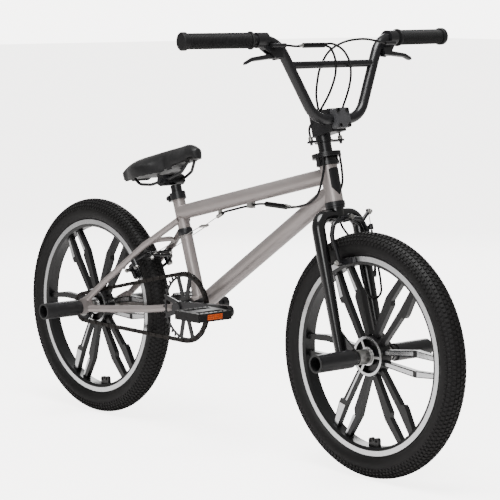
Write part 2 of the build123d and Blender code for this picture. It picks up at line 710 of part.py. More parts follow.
def pedal_body(side):
    """A platform pedal: a barrel, two end bars, two side bars and a cross rib."""
    centre = pedal_centre(side)
    inner, outer = side * PEDAL_INNER, side * PEDAL_OUTER
    y_span = (min(inner, outer), max(inner, outer))
    body = block((-PEDAL_LENGTH / 2, PEDAL_LENGTH / 2), y_span, (-PEDAL_HEIGHT / 2, PEDAL_HEIGHT / 2))
    window = (y_span[0] + 12, y_span[1] - 12)
    for x_span in ((-PEDAL_LENGTH / 2 + 12, -14), (14, PEDAL_LENGTH / 2 - 12)):
        body -= block(x_span, window, (-PEDAL_HEIGHT, PEDAL_HEIGHT))
        middle = (y_span[0] + y_span[1]) / 2
        body += block(x_span, (middle - 4, middle + 4), (-PEDAL_HEIGHT / 2 + 2, PEDAL_HEIGHT / 2 - 2))
    for x in (-PEDAL_LENGTH / 2, PEDAL_LENGTH / 2):
        body -= block((x - 3, x + 3), reflector_span(side), (-REFLECTOR_RISE, REFLECTOR_RISE))
    cavity_end = side * (PEDAL_OUTER - 11)
    body -= rod((0, side * (PEDAL_INNER - 1), 0), (0, cavity_end, 0), PEDAL_AXLE_RADIUS + RUN)
    return Pos(centre.X, 0, centre.Z) * body


def reflector_span(side):
    middle = side * (PEDAL_INNER + PEDAL_OUTER) / 2
    return (middle - REFLECTOR_HALF, middle + REFLECTOR_HALF)


def pedal_reflectors(side):
    centre = pedal_centre(side)
    plates = []
    for x in (-PEDAL_LENGTH / 2, PEDAL_LENGTH / 2 - 3):
        plate = block((x, x + 3), reflector_span(side), (-REFLECTOR_RISE, REFLECTOR_RISE))
        plates.append(Pos(centre.X, 0, centre.Z) * plate)
    return plates


def freewheel_body():
    return ring((REAR_X, -50, AXLE_Z), (REAR_X, -36, AXLE_Z), 21, HUB_SHELL_RADIUS)


def freewheel_cog():
    lean = math.asin((RING_PITCH - COG_PITCH) / STAY_LENGTH)
    straight = STAY_LENGTH * math.cos(lean) / PITCH
    first = 2 * straight + RING_TEETH * (0.5 + lean / math.pi)
    half = TOOTH_WIDTH / 2
    face = sprocket(REAR_X, AXLE_Z, COG_TEETH, pin_angle(REAR_X, AXLE_Z, first))
    cog = side_plate(face, (-CHAIN_LINE - half, -CHAIN_LINE + half))
    cog += rod((REAR_X, -49, AXLE_Z), (REAR_X, -38, AXLE_Z), 26.5)
    return cog - rod((REAR_X, -60, AXLE_Z), (REAR_X, -30, AXLE_Z), 21 + RUN)


# ---- fork and front end, in the steering frame: X fore, Y side, Z level --------------------------
def fork():
    arch = bent([(0, -LEG_SIDE, LEG_TAPER_TOP), (0, -LEG_SIDE, CROWN_LEVEL), (0, LEG_SIDE, CROWN_LEVEL),
                 (0, LEG_SIDE, LEG_TAPER_TOP)], [CROWN_BEND, CROWN_BEND], LEG_TOP_RADIUS)
    body = arch + rod((0, 0, CROWN_LEVEL), (0, 0, STEERER_TOP), STEERER_RADIUS)
    body += rod((0, 0, CROWN_LEVEL - 8), (0, 0, HEAD_LOW - CUP_HEIGHT - 5), STEERER_RADIUS + 3.5)
    inside = bent([(0, -LEG_SIDE, LEG_TAPER_TOP), (0, -LEG_SIDE, CROWN_LEVEL), (0, LEG_SIDE, CROWN_LEVEL),
                   (0, LEG_SIDE, LEG_TAPER_TOP)], [CROWN_BEND, CROWN_BEND], LEG_TOP_RADIUS - LEG_WALL)
    crown_half = STEERER_RADIUS + 8
    inside -= block((-20, 20), (-crown_half, crown_half), (CROWN_LEVEL - 30, CROWN_LEVEL + 30))
    for side in (-1, 1):
        foot, top = (0, side * LEG_SIDE, LEG_FOOT), (0, side * LEG_SIDE, LEG_TAPER_TOP)
        body += taper(foot, top, LEG_FOOT_RADIUS, LEG_TOP_RADIUS)
        body += fork_dropout(side)
        inside += taper((0, side * LEG_SIDE, LEG_FOOT + 60), top, LEG_FOOT_RADIUS - LEG_WALL + 0.7,
                        LEG_TOP_RADIUS - LEG_WALL)
    body -= inside
    body -= rod((0, 0, CROWN_LEVEL - 30), (0, 0, STEERER_TOP + 1), STEERER_BORE)
    return STEER * body - front_brake_bolt()


def fork_dropout(side):
    half = FRONT_SPACING / 2
    span = (half, half + DROPOUT_THICKNESS) if side > 0 else (-half - DROPOUT_THICKNESS, -half)
    outline = make_hull((Pos(FORK_OFFSET, 0) * Circle(16)).edges() + (Pos(0, 26) * Circle(10)).edges()
                        + (Pos(0, 60) * Circle(7)).edges())
    outline -= Pos(FORK_OFFSET, 0) * Circle(AXLE_RADIUS)
    outline -= Pos(FORK_OFFSET, -13) * Rectangle(2 * AXLE_RADIUS, 26)
    return side_plate(outline, span)


def crown_race():
    low = HEAD_LOW - CUP_HEIGHT
    return STEER * ring((0, 0, low - 5), (0, 0, low - GAP), CUP_RADIUS - 1, STEERER_RADIUS)


def top_race():
    return STEER * ring((0, 0, HEAD_HIGH + CUP_HEIGHT + GAP), (0, 0, HEAD_HIGH + CUP_HEIGHT + 5), 18,
                        STEERER_RADIUS)


def spacer():
    return STEER * ring((0, 0, HEAD_HIGH + CUP_HEIGHT + 5), (0, 0, GYRO_TOP), SPACER_RADIUS, STEERER_RADIUS)


GYRO_LOW = HEAD_HIGH + CUP_HEIGHT + 8
GYRO_TOP = STEM_LOW - 14


def gyro_bottom_plate():
    """Fixed plate over the upper cup, on two legs that stand on a band round the cup."""
    level = GYRO_LOW
    plate = ring((0, 0, level), (0, 0, level + GYRO_PLATE), GYRO_RADIUS, 20)
    foot = HEAD_HIGH + 1
    band = ring((0, 0, foot), (0, 0, foot + 7), CUP_RADIUS + 3, CUP_RADIUS)
    for side in (-1, 1):
        plate += block((-5, 5), sorted((side * (CUP_RADIUS + 2), side * (CUP_RADIUS + 6))), (foot, level + 1))
        plate -= rod((14, side * 24.5, level - 30), (14, side * 24.5, level + 9), 1.2)
    return STEER * (plate + band)


def gyro_ring(level):
    return STEER * ring((0, 0, level), (0, 0, level + GYRO_PLATE), GYRO_RADIUS, SPACER_RADIUS + 1.5)


def gyro_lower_ring():
    return gyro_ring(GYRO_LOW + GYRO_PLATE + GAP)


def gyro_upper_ring():
    return gyro_ring(GYRO_LOW + 2 * GYRO_PLATE + 2 * GAP)


def gyro_top_plate():
    """The plate that turns with the bars and holds the upper cables' adjusters on two arms."""
    plate = rod((0, 0, GYRO_TOP), (0, 0, GYRO_TOP + 4), 20)
    plate += block((-1, 13), (-GYRO_ARM - 5, GYRO_ARM + 5), (GYRO_TOP, GYRO_TOP + 4))
    plate -= rod((0, 0, GYRO_TOP - 1), (0, 0, GYRO_TOP + 5), STEERER_RADIUS)
    for side in (-1, 1):
        plate -= rod((6, side * GYRO_ARM, GYRO_TOP - 1), (6, side * GYRO_ARM, GYRO_TOP + 5), 3)
    return STEER * plate


def gyro_adjusters():
    adjusters = []
    for side in (-1, 1):
        low, high = GYRO_TOP - 5, GYRO_TOP + 12
        body = rod((6, side * GYRO_ARM, low), (6, side * GYRO_ARM, high), 3)
        body += rod((6, side * GYRO_ARM, GYRO_TOP + 4), (6, side * GYRO_ARM, high), 4.5)
        adjusters.append(STEER * body)
    return adjusters


def stem():
    top = STEERER_TOP
    body = block((-19, STEM_REACH - 1), (-STEM_HALF, STEM_HALF), (STEM_LOW, top))
    body = chamfer(body.edges().filter_by(Axis.Z).group_by(Axis.X)[0], 8)
    body -= rod((0, 0, STEM_LOW - 1), (0, 0, top + 1), STEERER_RADIUS)
    body -= rod((STEM_REACH, -60, STEM_LEVEL), (STEM_REACH, 60, STEM_LEVEL), BAR_RADIUS)
    return STEER * (body - stem_bolt_rods())


def stem_low_ring():
    return STEER * ring((0, 0, GYRO_TOP + 4), (0, 0, STEM_LOW), SPACER_RADIUS + 2, STEERER_RADIUS)


def stem_cap():
    """The front half of the bar clamp, held by four bolts."""
    front = STEM_REACH + 18
    body = block((STEM_REACH + 1, front), (-STEM_HALF, STEM_HALF), (STEM_LEVEL - 21, STEM_LEVEL + 21))
    body = fillet(body.edges().filter_by(Axis.X), 5)
    body -= rod((STEM_REACH, -60, STEM_LEVEL), (STEM_REACH, 60, STEM_LEVEL), BAR_RADIUS)
    return STEER * (body - stem_bolt_rods())


def stem_bolt_rods():
    rods = None
    for side in (-13, 13):
        for level in (STEM_LEVEL - 16, STEM_LEVEL + 16):
            bolt = rod((STEM_REACH - 22, side, level), (STEM_REACH + 18, side, level), 2.5)
            bolt += rod((STEM_REACH + 14, side, level), (STEM_REACH + 19, side, level), 4.3)
            rods = bolt if rods is None else rods + bolt
    return rods


def stem_bolts():
    return [STEER * solid for solid in stem_bolt_rods().solids()]


def stem_top_cap():
    cap = rod((0, 0, STEERER_TOP), (0, 0, STEERER_TOP + 5), 16)
    cap += rod((0, 0, STEERER_TOP - 12), (0, 0, STEERER_TOP), STEERER_BORE)
    return STEER * (cap - rod((0, 0, STEERER_TOP - 13), (0, 0, STEERER_TOP + 6), HOUSING_RADIUS + SOFT_GAP))


BAR_CENTRE = steer_point(STEM_REACH, 0, STEM_LEVEL)
BAR_TOP_X = BAR_CENTRE.X - BAR_LEAN
BAR_END_X = BAR_TOP_X - BAR_SWEEP


def handlebar():
    half = BAR_WIDTH / 2 - 3
    points = [(BAR_END_X, half, BAR_TOP_HEIGHT), (BAR_TOP_X, BAR_KNEE_HIGH, BAR_TOP_HEIGHT),
              (BAR_CENTRE.X, BAR_KNEE_LOW, BAR_CENTRE.Z)]
    points += [(x, -y, z) for x, y, z in reversed(points)]
    return bent(points, [55, 55, 55, 55], BAR_RADIUS, BAR_RADIUS - 1.6)


def bar_side_at(height):
    """How far out, and how far forward, the rising part of the bar is at a height."""
    share = (height - BAR_CENTRE.Z) / (BAR_TOP_HEIGHT - BAR_CENTRE.Z)
    side = BAR_KNEE_LOW + share * (BAR_KNEE_HIGH - BAR_KNEE_LOW)
    return side, BAR_CENTRE.X - share * BAR_LEAN


def crossbar():
    side, x = bar_side_at(CROSSBAR_HEIGHT)
    low = Vector(BAR_CENTRE.X, BAR_KNEE_LOW, BAR_CENTRE.Z)
    high = Vector(BAR_TOP_X, BAR_KNEE_HIGH, BAR_TOP_HEIGHT)
    bar = rod((x, -side, CROSSBAR_HEIGHT), (x, side, CROSSBAR_HEIGHT), CROSSBAR_RADIUS)
    for sign in (-1, 1):
        bar -= rod((low.X, sign * low.Y, low.Z), (high.X, sign * high.Y, high.Z), BAR_RADIUS)
    return bar


def bar_point(side, offset_down=0.0):
    """A point on the sloping outer part of the bar, at a distance from the middle."""
    half = BAR_WIDTH / 2 - 3
    share = (abs(side) - BAR_KNEE_HIGH) / (half - BAR_KNEE_HIGH)
    return Vector(BAR_TOP_X - share * BAR_SWEEP, side, BAR_TOP_HEIGHT - offset_down)


def grip(side):
    end = BAR_WIDTH / 2
    outer, inner = bar_point(side * (end - 3)), bar_point(side * (end - GRIP_LENGTH))
    along = (outer - inner).normalized()
    body = rod(inner, outer, GRIP_RADIUS) + rod(inner, inner + along * 5, GRIP_END_RADIUS)
    body += rod(outer - along * 9, outer + along * 3, GRIP_END_RADIUS)
    return body - rod(inner - along, outer, BAR_RADIUS)


# ---- brake levers, in a frame on the bar: X outboard, Y down to the blade, Z along the pivot ------
LEVER_TILT = 20.0
PIVOT_IN = 34.0
PIVOT_DOWN = 33.0
PIVOT_PIN = 3.0
BARREL_FORE = 17.0
BARREL_DOWN = 17.0
BARREL_END = -46.0


def lever_frame(side):
    along = (bar_point(side * 300) - bar_point(side * 160)).normalized()
    tilt = math.radians(LEVER_TILT)
    down = Vector(math.sin(tilt), 0, -math.cos(tilt))
    down = (down - along * down.dot(along)).normalized()
    return Plane(origin=bar_point(side * LEVER_SIDE), x_dir=along, z_dir=along.cross(down))


def lever_perch(side):
    """Bar clamp, body and the two cheeks that hold the blade's pivot."""
    body = rod((-13, 0, 0), (13, 0, 0), BAR_RADIUS + 5)
    arm = [(-15, 6), (8, 6), (2, 17), (-PIVOT_IN + 9, PIVOT_DOWN + 8), (-PIVOT_IN - 8, PIVOT_DOWN + 6),
           (-PIVOT_IN - 9, PIVOT_DOWN - 12)]
    body += extrude(Plane.XY.offset(-8) * make_face(Polyline(*arm, close=True)), 16)
    body -= rod((-40, 0, 0), (40, 0, 0), BAR_RADIUS)
    slot = [(-PIVOT_IN - 30, PIVOT_DOWN - 7.5), (0, PIVOT_DOWN - 12.5), (30, PIVOT_DOWN - 12), (30, 70),
            (-PIVOT_IN - 30, 70)]
    body -= extrude(Plane.XY.offset(-4.5) * make_face(Polyline(*slot, close=True)), 9)
    body -= rod((-PIVOT_IN, PIVOT_DOWN, -10), (-PIVOT_IN, PIVOT_DOWN, 10), PIVOT_PIN)
    front = -side * BARREL_FORE
    body += rod((-12, BARREL_DOWN, front), (BARREL_END, BARREL_DOWN, front), 4.6)
    body += block((-22, -12), (BARREL_DOWN - 4, BARREL_DOWN + 4), sorted((0, front)))
    body -= rod((-24, BARREL_DOWN, front), (BARREL_END - 1, BARREL_DOWN, front), HOUSING_RADIUS)
    return lever_frame(side).location * body


def barrel_point(side, along):
    """A point on the axis of a lever bracket's cable barrel."""
    return (lever_frame(side).location * Pos(along, BARREL_DOWN, -side * BARREL_FORE)).position


def lever_pin(side):
    pin = rod((-PIVOT_IN, PIVOT_DOWN, -8), (-PIVOT_IN, PIVOT_DOWN, 8), PIVOT_PIN)
    return lever_frame(side).location * pin


def lever_blade(side):
    """A short two-finger blade with a hooked tip."""
    outline = make_face(Polyline(
        (-PIVOT_IN - 5, PIVOT_DOWN - 4), (-PIVOT_IN + 6, PIVOT_DOWN - 6), (-8, PIVOT_DOWN - 2),
        (34, PIVOT_DOWN + 4), (50, PIVOT_DOWN + 12), (52, PIVOT_DOWN + 18), (44, PIVOT_DOWN + 17),
        (30, PIVOT_DOWN + 11), (-10, PIVOT_DOWN + 7), (-PIVOT_IN - 2, PIVOT_DOWN + 6), close=True))
    blade = extrude(Plane.XY.offset(-4) * outline, 8)
    blade -= rod((-PIVOT_IN, PIVOT_DOWN, -10), (-PIVOT_IN, PIVOT_DOWN, 10), PIVOT_PIN + RUN)
    return lever_frame(side).location * blade


# ---- front brake, in the steering frame ----------------------------------------------------------
FRONT_PIVOT = 291.0
BRAKE_BOLT = 3.0
NEAR_ARM = 23.0              # how far fore the near arm lies, and the far one
FAR_ARM = 35.0
CABLE_FORE = 36.0            # the straight end of the front cable, beside the caliper
CABLE_SIDE = 57.0
LOW_ANCHOR = 267.0
HIGH_ANCHOR = 299.0
PAD_LEVEL = 200.0
PAD_GAP = 2.0


def brake_boss(fore):
    return rod((fore - 5.5, 0, FRONT_PIVOT), (fore + 5.5, 0, FRONT_PIVOT), 8)


def front_arm(side):
    """One caliper arm: round the tyre from the pivot down to its pad, and out to the cable."""
    fore = NEAR_ARM if side < 0 else FAR_ARM
    points = [(fore, side * 38, PAD_LEVEL), (fore, side * 41, 228), (fore, side * 47, 256),
              (fore, side * 34, 284), (fore, 0, FRONT_PIVOT)]
    arm = bent(points, [60, 30, 16], 5) + brake_boss(fore)
    if side < 0:
        level = LOW_ANCHOR
        arm += bent([(fore, 0, FRONT_PIVOT), (fore, 26, 284), (fore, CABLE_SIDE + 2, level - 1)], [30], 4.2)
        arm += rod((fore, CABLE_SIDE, level), (CABLE_FORE, CABLE_SIDE, level), 4)
    else:
        level = HIGH_ANCHOR
        arm += rod((fore, 36, 281), (CABLE_FORE, CABLE_SIDE, level), 4.2)
    arm += rod((CABLE_FORE, CABLE_SIDE, level - 6), (CABLE_FORE, CABLE_SIDE, level + 6), 5)
    arm -= rod((CABLE_FORE, CABLE_SIDE, level - 12), (CABLE_FORE, CABLE_SIDE, level + 12), WIRE_RADIUS + 0.8)
    arm += pad_shoe(fore, side)
    return STEER * (arm - rod((0, 0, FRONT_PIVOT), (60, 0, FRONT_PIVOT), BRAKE_BOLT + RUN))


def pad_shoe(fore, side):
    """The holder behind a front brake pad, with the stud that the arm clamps."""
    middle = (NEAR_ARM + FAR_ARM) / 2
    inner = RIM_HALF + PAD_GAP + 9
    shoe = block((middle - 22, middle + 22), sorted((side * inner, side * (inner + 2.5))),
                 (PAD_LEVEL - 5, PAD_LEVEL + 5))
    return shoe + rod((fore, side * (inner + 2), PAD_LEVEL), (fore, side * 46, PAD_LEVEL), 3.5)


def front_pad(side):
    middle = (NEAR_ARM + FAR_ARM) / 2
    inner = RIM_HALF + PAD_GAP
    return STEER * block((middle - 24, middle + 24), sorted((side * inner, side * (inner + 9))),
                         (PAD_LEVEL - 6, PAD_LEVEL + 6))


def front_brake_bolt():
    """The centre bolt through the fork crown, its nut behind and its acorn nut in front."""
    bolt = rod((-20, 0, FRONT_PIVOT), (FAR_ARM + 12, 0, FRONT_PIVOT), BRAKE_BOLT)
    bolt += rod((-19, 0, FRONT_PIVOT), (-LEG_TOP_RADIUS, 0, FRONT_PIVOT), 5.5)
    bolt += rod((LEG_TOP_RADIUS, 0, FRONT_PIVOT), (NEAR_ARM - 6, 0, FRONT_PIVOT), 6.5)
    bolt += hexagon((FAR_ARM + 6, 0, FRONT_PIVOT), (FAR_ARM + 11, 0, FRONT_PIVOT), 6)
    return STEER * bolt


# ---- rear brake, in the stay frame: X from the rear axle up the stays, Y side, -Z forward ---------
REAR_PIVOT = 238.0
REAR_PIVOT_SIDE = 49.0
POST_PIN = 4.0
REAR_LEVEL = {-1: -14.5, 1: -22.5}
REAR_PAD_ALONG = 195.0
REAR_PAD_SPAN = (-36, 2)
ARM_TIP = 278.0
ARM_TIP_SIDE = 29.0


def rear_arm(side):
    """One U-brake arm: from its pad past its stud, over the tyre and across to the cable."""
    level = REAR_LEVEL[side]
    points = [(REAR_PAD_ALONG, side * 40, level), (REAR_PIVOT, side * REAR_PIVOT_SIDE, level),
              (269, side * 38, level), (ARM_TIP, -side * ARM_TIP_SIDE, level)]
    arm = bent(points, [30, 12], 3.6)
    arm += rod((REAR_PIVOT, side * REAR_PIVOT_SIDE, -10), (REAR_PIVOT, side * REAR_PIVOT_SIDE, -26.5), 8)
    arm += rod((ARM_TIP, -side * ARM_TIP_SIDE, level - 4), (ARM_TIP, -side * ARM_TIP_SIDE, level + 4), 5.5)
    inner = RIM_HALF + PAD_GAP + 9
    arm += block((REAR_PAD_ALONG - 5, REAR_PAD_ALONG + 5), sorted((side * inner, side * (inner + 2.5))),
                 (REAR_PAD_SPAN[0] + 2, REAR_PAD_SPAN[1] - 2))
    arm += rod((REAR_PAD_ALONG, side * (inner + 2), level), (REAR_PAD_ALONG, side * 44, level), 3.5)
    stud = rod((REAR_PIVOT, side * REAR_PIVOT_SIDE, 0), (REAR_PIVOT, side * REAR_PIVOT_SIDE, -40),
               POST_PIN + RUN)
    arm -= stud
    anchor = rod((ARM_TIP - 8, -side * ARM_TIP_SIDE, level), (ARM_TIP + 8, -side * ARM_TIP_SIDE, level), 3.4)
    return STAY * (arm - anchor)


def rear_pad(side):
    inner = RIM_HALF + PAD_GAP
    return STAY * block((REAR_PAD_ALONG - 6, REAR_PAD_ALONG + 6), sorted((side * inner, side * (inner + 9))),
                        REAR_PAD_SPAN)


def stay_point(along, side, level):
    return (STAY * Pos(along, side, level)).position


# ---- saddle, in a frame at its nose: X forward, Z square up from the saddle -----------------------
NOSE = Plane(origin=(SADDLE_NOSE_X, 0, 656), x_dir=(math.cos(math.radians(SADDLE_ANGLE)), 0,
             math.sin(math.radians(SADDLE_ANGLE))), z_dir=(-math.sin(math.radians(SADDLE_ANGLE)), 0,
             math.cos(math.radians(SADDLE_ANGLE)))).location


def saddle_outline(shrink):
    """Plan of the saddle: a narrow nose that flares to a round tail."""
    half, length = SADDLE_WIDTH / 2 - shrink, SADDLE_LENGTH
    nose = Pos(-18 - shrink, 0) * Circle(17)
    waist = Pos(-0.46 * length, 0) * Circle(25 - shrink / 2)
    tail = Pos(-length + 62, 0) * Circle(half - 6)
    rear = Pos(-length + 50, 0) * Rectangle(2 * 40, 2 * half - 26)
    front = make_hull(nose.edges() + waist.edges())
    back = make_hull(waist.edges() + (Pos(-length + 66, 0) * Circle(half - 4)).edges())
    return front + back + tail + rear


def saddle_cover():
    body = extrude(Pos(0, 0, SADDLE_CROWN) * saddle_outline(0), -SADDLE_CROWN - SADDLE_SKIRT)
    body -= extrude(Pos(0, 0, -18) * saddle_outline(5), -SADDLE_SKIRT)
    return NOSE * body


def saddle_shell():
    return NOSE * extrude(Pos(0, 0, -18) * saddle_outline(5 + SOFT_GAP), -4)


CLAMP_ALONG = -118.0         # middle of the rails' clamp, from the saddle's nose


def saddle_rails():
    rails = []
    for side in (-1, 1):
        points = [(-34, side * 9, -22), (-58, side * 15, -42), (-90, side * RAIL_SIDE, -48),
                  (-165, side * RAIL_SIDE, -48), (-196, side * 30, -40), (-206, side * 36, -22)]
        above = block((-SADDLE_LENGTH, 0), (-SADDLE_WIDTH, SADDLE_WIDTH), (-22, 0))
        rails.append(NOSE * (bent(points, [18, 30, 30, 18], RAIL_RADIUS) - above))
    return rails


def saddle_clamp():
    """Two cheeks that hold the rails, on a core that sits on the seat post."""
    middle = CLAMP_ALONG
    core = rod((middle, -31, -48), (middle, 31, -48), 13)
    core += block((middle - 13, middle + 13), (-31, 31), (-56, -48))
    for side in (-1, 1):
        core -= rod((middle - 40, side * RAIL_SIDE, -48), (middle + 40, side * RAIL_SIDE, -48), RAIL_RADIUS)
    core = NOSE * core
    return core - rod(seat_point(SEAT_TUBE_TOP - 60), seat_point(POST_TOP + GAP), POST_RADIUS + RUN)


def saddle_clamp_bolt():
    bolt = rod((CLAMP_ALONG, -36, -48), (CLAMP_ALONG, -31, -48), 6)
    bolt += rod((CLAMP_ALONG, 31, -48), (CLAMP_ALONG, 36, -48), 6)
    return [NOSE * solid for solid in bolt.solids()]


def seat_post():
    return ring(seat_point(SEAT_TUBE_TOP - 90), seat_point(POST_TOP), POST_RADIUS, POST_RADIUS - 2)


# ---- cables --------------------------------------------------------------------------------------
UPPER_JOIN_IN = (365, -101, 896)
UPPER_JOIN_OUT = (371, -48, 896)
LOWER_JOIN_IN = (203, 0, 546)
LOWER_JOIN_OUT = (137, 0, 547)
GUIDE_LINE = ((112, 0, 545.5), (58, 0, 534))
CABLE_STOP = Vector(-28, 0, 506)
YOKE = Vector(-76, 0, 481)
PULL = (CABLE_STOP - YOKE).normalized()


def lever_cable_right():
    points = [barrel_point(-1, -24), barrel_point(-1, BARREL_END - 4), (364, -118, 894), UPPER_JOIN_IN]
    return [cord(points, "lever_cable")]


def upper_joiner():
    return [rod(UPPER_JOIN_IN, UPPER_JOIN_OUT, 5.5)]


def upper_cables():
    near_end = [steer_point(6, -GYRO_ARM, GYRO_TOP + 12 + rise) for rise in (20, 0)]
    far_end = [steer_point(6, GYRO_ARM, GYRO_TOP + 12 + rise) for rise in (20, 0)]
    near = [(371, -48, 896), (374, -32, 891), (374, -18, 868), (371, -14, 836), (362, -22, 797),
            (342, -34, 756)] + near_end
    far = [(371, -48, 898.5), (373, -24, 899), (370, 8, 886), (361, 36, 860), (342, 57, 827), (316, 72, 792),
           (303, 66, 754)] + far_end
    return [cord(near, "upper_near"), cord(far, "upper_far")]


def front_cable():
    """The front brake's cable: from the left lever through the steerer to the caliper."""
    above = [barrel_point(1, -24), barrel_point(1, BARREL_END - 4), (369, 112, 901), (368, 68, 908),
             (353, 28, 903), (330, 3, 884), (313, -8, 846), (303, -6, 806)]
    inside = [(0, 0, 556), (0, 0, 500), (0, 5.6, 420), (0, 6.4, 316), (0.4, 6.6, 280)]
    loop = [(1, 17, 263), (2, 31, 247), (4, 37, 216), (4, 37, 160), (9, 40, 128), (22, 46, 114),
            (35, 55, 126), (37, CABLE_SIDE, 156),
            (CABLE_FORE, CABLE_SIDE, 196), (CABLE_FORE, CABLE_SIDE, LOW_ANCHOR - 7)]
    points = above + [steer_point(*p) for p in inside + loop]
    wire_ends = [(CABLE_FORE, CABLE_SIDE, level) for level in (LOW_ANCHOR - 9, HIGH_ANCHOR + 6)]
    wire = rod(*wire_ends, WIRE_RADIUS)
    return [cord(points, "front_cable") + STEER * wire]


def lower_cables():
    cables = []
    for side in (-1, 1):
        top = [steer_point(14, side * 24.5, GYRO_LOW - drop) for drop in (0.3, 22)]
        points = top + [(346, side * 31, 606),
                  (334, side * 31, 581), (308, side * 28, 563), (266, side * 22, 553), (232, side * 10, 547),
                  (203, side * 3.2, 546)]
        cables.append(cord(points, "lower"))
    return cables


def lower_joiner():
    return [rod(LOWER_JOIN_IN, LOWER_JOIN_OUT, 6)]


def rear_cable():
    seat, lead = CABLE_STOP + PULL * 12, CABLE_STOP + PULL * 29
    points = [LOWER_JOIN_OUT, GUIDE_LINE[0], GUIDE_LINE[1], (28, 0, 526.5), lead, seat]
    return [cord(points, "rear_cable")]


def cable_hardware():
    """The guide and the slotted stop under the top tube."""
    top_tube_run = TOP_TUBE_HEAD - TOP_TUBE_SEAT
    slope = top_tube_run.Z / top_tube_run.X
    guide_x = 86.0
    under = TOP_TUBE_SEAT.Z + slope * (guide_x - TOP_TUBE_SEAT.X) - TOP_TUBE_RADIUS
    guide = block((guide_x - 8, guide_x + 8), (-6, 6), (534.5, under + 3)) - top_tube_solid()
    guide -= rod(*GUIDE_LINE, HOUSING_RADIUS + 0.1)
    stop = rod(CABLE_STOP, CABLE_STOP + PULL * 20, 4.5)
    stop_under = TOP_TUBE_SEAT.Z + slope * (CABLE_STOP.X + 9 - TOP_TUBE_SEAT.X) - TOP_TUBE_RADIUS
    stop += block((CABLE_STOP.X + 4, CABLE_STOP.X + 14), (-2, 2), (CABLE_STOP.Z + 5, stop_under + 3))
    stop -= top_tube_solid()
    stop -= rod(CABLE_STOP - PULL, CABLE_STOP + PULL * 21, WIRE_RADIUS + 0.3)
    stop -= rod(CABLE_STOP + PULL * 12, CABLE_STOP + PULL * 21, HOUSING_RADIUS)
    return [guide, stop]


def yoke():
    """The yoke that the bare wire pulls, with the wire and the two straddle wires to the arms."""
    side_dir = Vector(0, 1, 0)
    place = Plane(origin=YOKE, x_dir=PULL, z_dir=PULL.cross(side_dir)).location
    body = place * block((-5, 5), (-11, 11), (-2, 2))
    body += rod(YOKE, CABLE_STOP + PULL * 5, WIRE_RADIUS)
    for side in (-1, 1):
        tip = stay_point(ARM_TIP, side * ARM_TIP_SIDE, REAR_LEVEL[-side])
        body += rod(YOKE + Vector(0, side * 9, 0), tip, WIRE_RADIUS)
    return body


# ---- every node ----------------------------------------------------------------------------------
FRONT_FACE = FRONT_SPACING / 2 - LOCKNUT_WIDTH - GAP
REAR_FACE = REAR_SPACING / 2 - LOCKNUT_WIDTH - GAP


